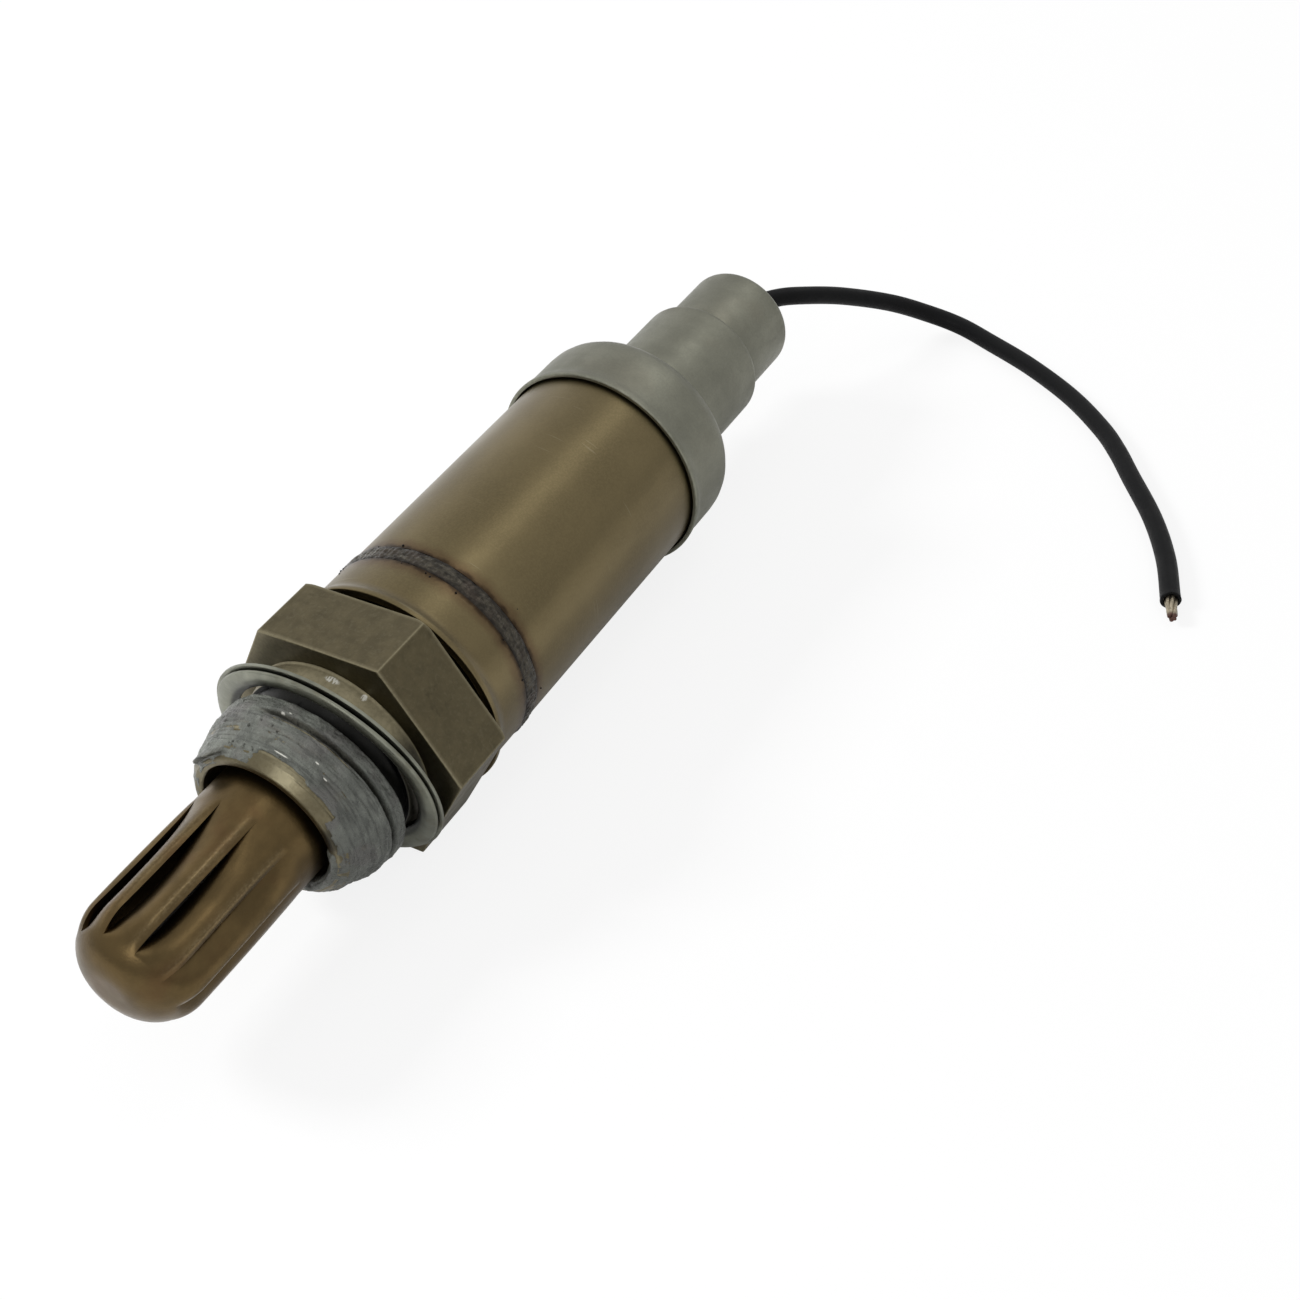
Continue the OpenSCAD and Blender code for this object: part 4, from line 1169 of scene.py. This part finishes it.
class SENSOR_OT_cap(bpy.types.Operator):
    """Draws the cable cap with its rolled lip"""

    bl_idname = "sensor.cap"
    bl_label = "Cable cap"

    def execute(self, context):
        s = sizes()
        f = Finish("matt_cap", metallic=1.0)
        clouds = f.noise(3.4, detail=5, rough=0.6)
        base = f.tint("cap", 0.96, 1.03, clouds)
        warm = f.noise(6.0, detail=2)
        base = f.mix(f.span(warm, 0.5, 0.75, 0, 0.35), base, CAP_WARM)
        fine = f.noise(0.22, detail=4)
        base = f.mix(f.span(fine, 0.3, 0.7, 0.3, 0), base, paint("cap", 0.85))
        stain = f.noise(0.9, detail=5, rough=0.7)
        base = f.mix(f.span(stain, 0.64, 0.76, 0, 0.4), base, paint("cap", 0.72))
        rub = f.calc("MULTIPLY", f.value("rubbed"), f.span(stain, 0.35, 0.6))
        base = f.mix(rub, base, paint("cap", 1.35))
        f.relief(fine, 0.02)
        f.relief(f.noise(0.09, (1, 30, 30), detail=2), 0.004)
        # Painted shade: dark lines in the creases where the necks meet
        base = f.mix(f.value("seam"), base, paint("cap", 0.45))
        finish = f.done(base, f.span(clouds, 0.3, 0.7, 0.5, 0.42))
        piece("cap", [self.drawn(s)], finish, ["end_cap"], crease=40)
        self.rubber()
        return {"FINISHED"}

    def drawn(self, s):
        """Outline of the cap, outside from the lip to the cable hole and back inside, turned."""
        x0, x1, flare = reach("end_cap")
        skirt = reach("sleeve")[2] + 0.4
        inner = reach("sleeve")[2] + 0.05
        neck1, neck2, wall, hole = s.first_neck, s.second_neck, s.cap_wall, s.cap_hole
        shoulder, step = s.cap_shoulder, x1 - s.second_length
        crease = 0.22
        line = outline([
            (x0, inner + 0.16, 0.05), (x0 + 0.02, flare, 0.16), (x0 + 0.5, flare - 0.02, 0.25),
            (x0 + 1.25, skirt, 0.5), (shoulder, skirt, 3.0),
            (shoulder, neck1 + crease, 0.04), (shoulder - crease, neck1, 0.04),
            (shoulder + 0.25, neck1, 0), (step, neck1, 0.75), (step, neck2 + crease, 0.04),
            (step - crease, neck2, 0.04), (step + 0.25, neck2, 0), (x1, neck2, 1.1),
            (x1, hole, 0.15), (x1 - wall, hole, 0), (x1 - wall, neck2 - wall, 0),
            (step - wall, neck2 - wall, 0),
            (step - wall, neck1 - wall, 0), (shoulder - 0.4, neck1 - wall, 0),
            (shoulder - 0.4, inner, 2.6), (x0 + 1.3, inner, 0.5)], 8)
        x, r = line[:, :1], line[:, 1:]
        angle = round_table(360)[None]
        worn = smooth(x, x0 + 0.3, x0 + 0.08) * smooth(r, inner + 0.2, flare - 0.1)
        # Painted shade in the creases at the foot of each neck
        seam = sum(np.exp(-((x - at + 0.09) / 0.1) ** 2) * (r < foot + 0.3) * (r > foot - 0.1)
                   for at, foot in ((shoulder, neck1), (step, neck2)))
        return skin(polar(x, r, angle), close_rows=True, rubbed=0.25 * worn, seam=seam)

    def rubber(self):
        """Finish of the grommet, which keeps its solid."""
        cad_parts["grommet"].data.materials.clear()
        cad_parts["grommet"].data.materials.append(
            plain("matt_rubber", (0.02, 0.02, 0.021, 1), roughness=0.7, depth=0.02))


class SENSOR_OT_inside(bpy.types.Operator):
    """Gives the pieces inside the sensor their finishes"""

    bl_idname = "sensor.inside"
    bl_label = "Inner pieces"

    def execute(self, context):
        looks = {
            "seat_ring": plain("bright_washer", (0.36, 0.35, 0.32, 1), 1.0, 0.32),
            "thimble": self.thimble(),
            "powder_ring": plain("pressed_powder", (0.6, 0.55, 0.46, 1), 0.0, 0.9, 0.5, 0.12, 0.03),
            "packing_ring": plain("packing_washer", (0.34, 0.34, 0.33, 1), 1.0, 0.36),
            "support_ceramic": plain("support_tube", paint("ceramic"), 0.0, 0.6, 0.8, 0.05),
            "contact_bush": plain("bush_metal", (0.48, 0.38, 0.2, 1), 1.0, 0.3),
            "contact_rod": plain("rod_metal", (0.5, 0.4, 0.22, 1), 1.0, 0.26),
            "disc_spring": plain("spring_sheet", (0.3, 0.3, 0.3, 1), 1.0, 0.3),
            "spring_retainer": plain("retainer_sheet", (0.34, 0.34, 0.33, 1), 1.0, 0.35),
            "insulator": plain("insulating_bush", paint("ceramic", 0.97), 0.0, 0.55, 0.8, 0.05),
            "terminal": plain("crimp_metal", (0.5, 0.42, 0.25, 1), 1.0, 0.3),
            "vent_filter": plain("porous_filter", (0.78, 0.78, 0.75, 1), 0.0, 0.85, 0.3, 0.06,
                                 0.04),
            "inner_lead": insulation_finish(),
        }
        for node, look in looks.items():
            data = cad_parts[node].data
            data.materials.clear()
            data.materials.append(look)
        return {"FINISHED"}

    def thimble(self):
        """Fired ceramic, with a grey film over its tip that thins towards the shoulder."""
        f = Finish("fired_thimble", roughness=0.6)
        ragged = f.calc("ADD", f.station(), f.calc("MULTIPLY", f.noise(2.0, detail=4), 0.002))
        film = f.span(ragged, -0.007, -0.001, 1, 0)
        base = f.mix(film, paint("ceramic", 0.95), FILM_GREY)
        f.relief(f.noise(0.3, detail=4), 0.02)
        return f.done(base)


class SENSOR_OT_stage(bpy.types.Operator):
    """Sets the table, the light and the camera"""

    bl_idname = "sensor.stage"
    bl_label = "Table, light and camera"

    def execute(self, context):
        scene = context.scene
        scene.view_settings.view_transform = "Standard"
        self.table(scene)
        self.world(scene)
        for name, look in LAMPS.items():
            lamp = self.lamp(scene, name, *look)
            lamp.visible_glossy = name != "key"  # its mirror image would burn the metal out
        self.camera(scene)
        return {"FINISHED"}

    def table(self, scene):
        """Square table at the sensor's lowest point; white where it is looked at."""
        low = CAD_BOX[0].z
        corners = [(x * TABLE_HALF, y * TABLE_HALF, low) for x, y in
                   ((-1, -1), (1, -1), (1, 1), (-1, 1))]
        mesh = bpy.data.meshes.new("table")
        mesh.from_pydata(corners, [], [(0, 1, 2, 3)])
        f = Finish("pale_table", roughness=0.9)
        f.done(f.mix(f.noise(9.0, detail=4), paint("table", 0.985), paint("table")))
        white = f.node("ShaderNodeEmission", {"Color": WHITE, "Strength": 1.0}).outputs[0]
        both = f.whitened(f.shader.outputs[0], white, *TABLE_WHITE)
        f.plug(f.tree.nodes["Material Output"].inputs["Surface"], both)
        mesh.materials.append(f.material)
        table = bpy.data.objects.new("table", mesh)
        scene.collection.objects.link(table)

    def world(self, scene):
        """Soft studio all round: pale above, duller at the horizon, white where it is looked at."""
        world = scene.world or bpy.data.worlds.new("studio")
        scene.world = world
        world.use_nodes = True
        n = Nodes(world.node_tree)
        n.tree.nodes.clear()
        way = n.node("ShaderNodeTexCoord").outputs["Generated"]
        height = n.node("ShaderNodeSeparateXYZ", {0: way}).outputs[2]
        ramp = n.node("ShaderNodeValToRGB", {0: height})
        stops = ramp.color_ramp.elements
        for stop, (_, tone) in zip(stops, (SKY[0], SKY[-1])):
            stop.color = (tone, tone, tone, 1)
        for place, tone in SKY[1:-1]:
            stops.new(place).color = (tone, tone, tone, 1)
        toward = n.node("ShaderNodeVectorMath", {0: way, 1: GLOW_WAY},
                        operation="DOT_PRODUCT").outputs["Value"]
        level = n.calc("ADD", ramp.outputs[0], n.span(toward, GLOW_EDGE, 1.0, 0.0, GLOW))
        light = n.node("ShaderNodeBackground", {0: level, 1: 1.0}).outputs[0]
        white = n.node("ShaderNodeBackground", {0: WHITE, 1: 1.0}).outputs[0]
        n.node("ShaderNodeOutputWorld", {0: n.whitened(light, white, *SKY_WHITE)})

    def lamp(self, scene, name, place, target, size, power):
        """An area lamp of that size, in metres, turned to its target."""
        data = bpy.data.lights.new(name, "AREA")
        data.shape = "RECTANGLE"
        data.size, data.size_y = size
        data.energy = power
        lamp = bpy.data.objects.new(name, data)
        lamp.location = place
        way = np.array(target) - np.array(place)
        back = -way / np.linalg.norm(way)
        up = np.cross(back, np.cross([1.0, 0, 0], back))
        up /= np.linalg.norm(up)
        side = np.cross(up, back)
        lamp.rotation_mode = "QUATERNION"
        lamp.rotation_quaternion = Matrix(np.stack([side, up, back], 1).tolist()).to_quaternion()
        scene.collection.objects.link(lamp)
        return lamp

    def camera(self, scene):
        """Camera of the picture, from its place and its three axes."""
        data = bpy.data.cameras.new("camera")
        data.sensor_width, data.lens = CAMERA_SENSOR, CAMERA_LENS
        data.clip_start, data.clip_end = 0.01, 10
        camera = bpy.data.objects.new("camera", data)
        turn = Matrix((CAMERA_SIDE, CAMERA_UP, CAMERA_BACK)).transposed().to_4x4()
        camera.matrix_world = Matrix.Translation(CAMERA_PLACE) @ turn
        scene.collection.objects.link(camera)
        scene.camera = camera


class SENSOR_PT_panel(bpy.types.Panel):
    """Sizes, colours and pieces of the sensor"""

    bl_label = "Oxygen sensor"
    bl_space_type = "VIEW_3D"
    bl_region_type = "UI"
    bl_category = "Sensor"

    def draw(self, context):
        for operator in OPERATORS:
            self.layout.operator(operator.bl_idname)
        for group in (context.scene.sensor_sizes, context.scene.sensor_colours):
            box = self.layout.box()
            for key in group.bl_rna.properties.keys():
                if key not in ("rna_type", "name"):
                    box.prop(group, key)


OPERATORS = (SENSOR_OT_stage, SENSOR_OT_lead, SENSOR_OT_body, SENSOR_OT_paste, SENSOR_OT_gasket,
             SENSOR_OT_probe, SENSOR_OT_sleeves, SENSOR_OT_weld, SENSOR_OT_cap, SENSOR_OT_inside)
CLASSES = (SensorSizes, SensorColours, *OPERATORS, SENSOR_PT_panel)


def register():
    for cls in CLASSES:
        bpy.utils.register_class(cls)
    bpy.types.Scene.sensor_sizes = PointerProperty(type=SensorSizes)
    bpy.types.Scene.sensor_colours = PointerProperty(type=SensorColours)


def unregister():
    del bpy.types.Scene.sensor_colours
    del bpy.types.Scene.sensor_sizes
    for cls in reversed(CLASSES):
        bpy.utils.unregister_class(cls)


def main():
    register()
    bpy.ops.sensor.stage()
    bpy.ops.sensor.lead()
    bpy.ops.sensor.body()
    bpy.ops.sensor.paste()
    bpy.ops.sensor.gasket()
    bpy.ops.sensor.probe()
    bpy.ops.sensor.sleeves()
    bpy.ops.sensor.weld()
    bpy.ops.sensor.cap()
    bpy.ops.sensor.inside()


if __name__ == "__main__":
    main()
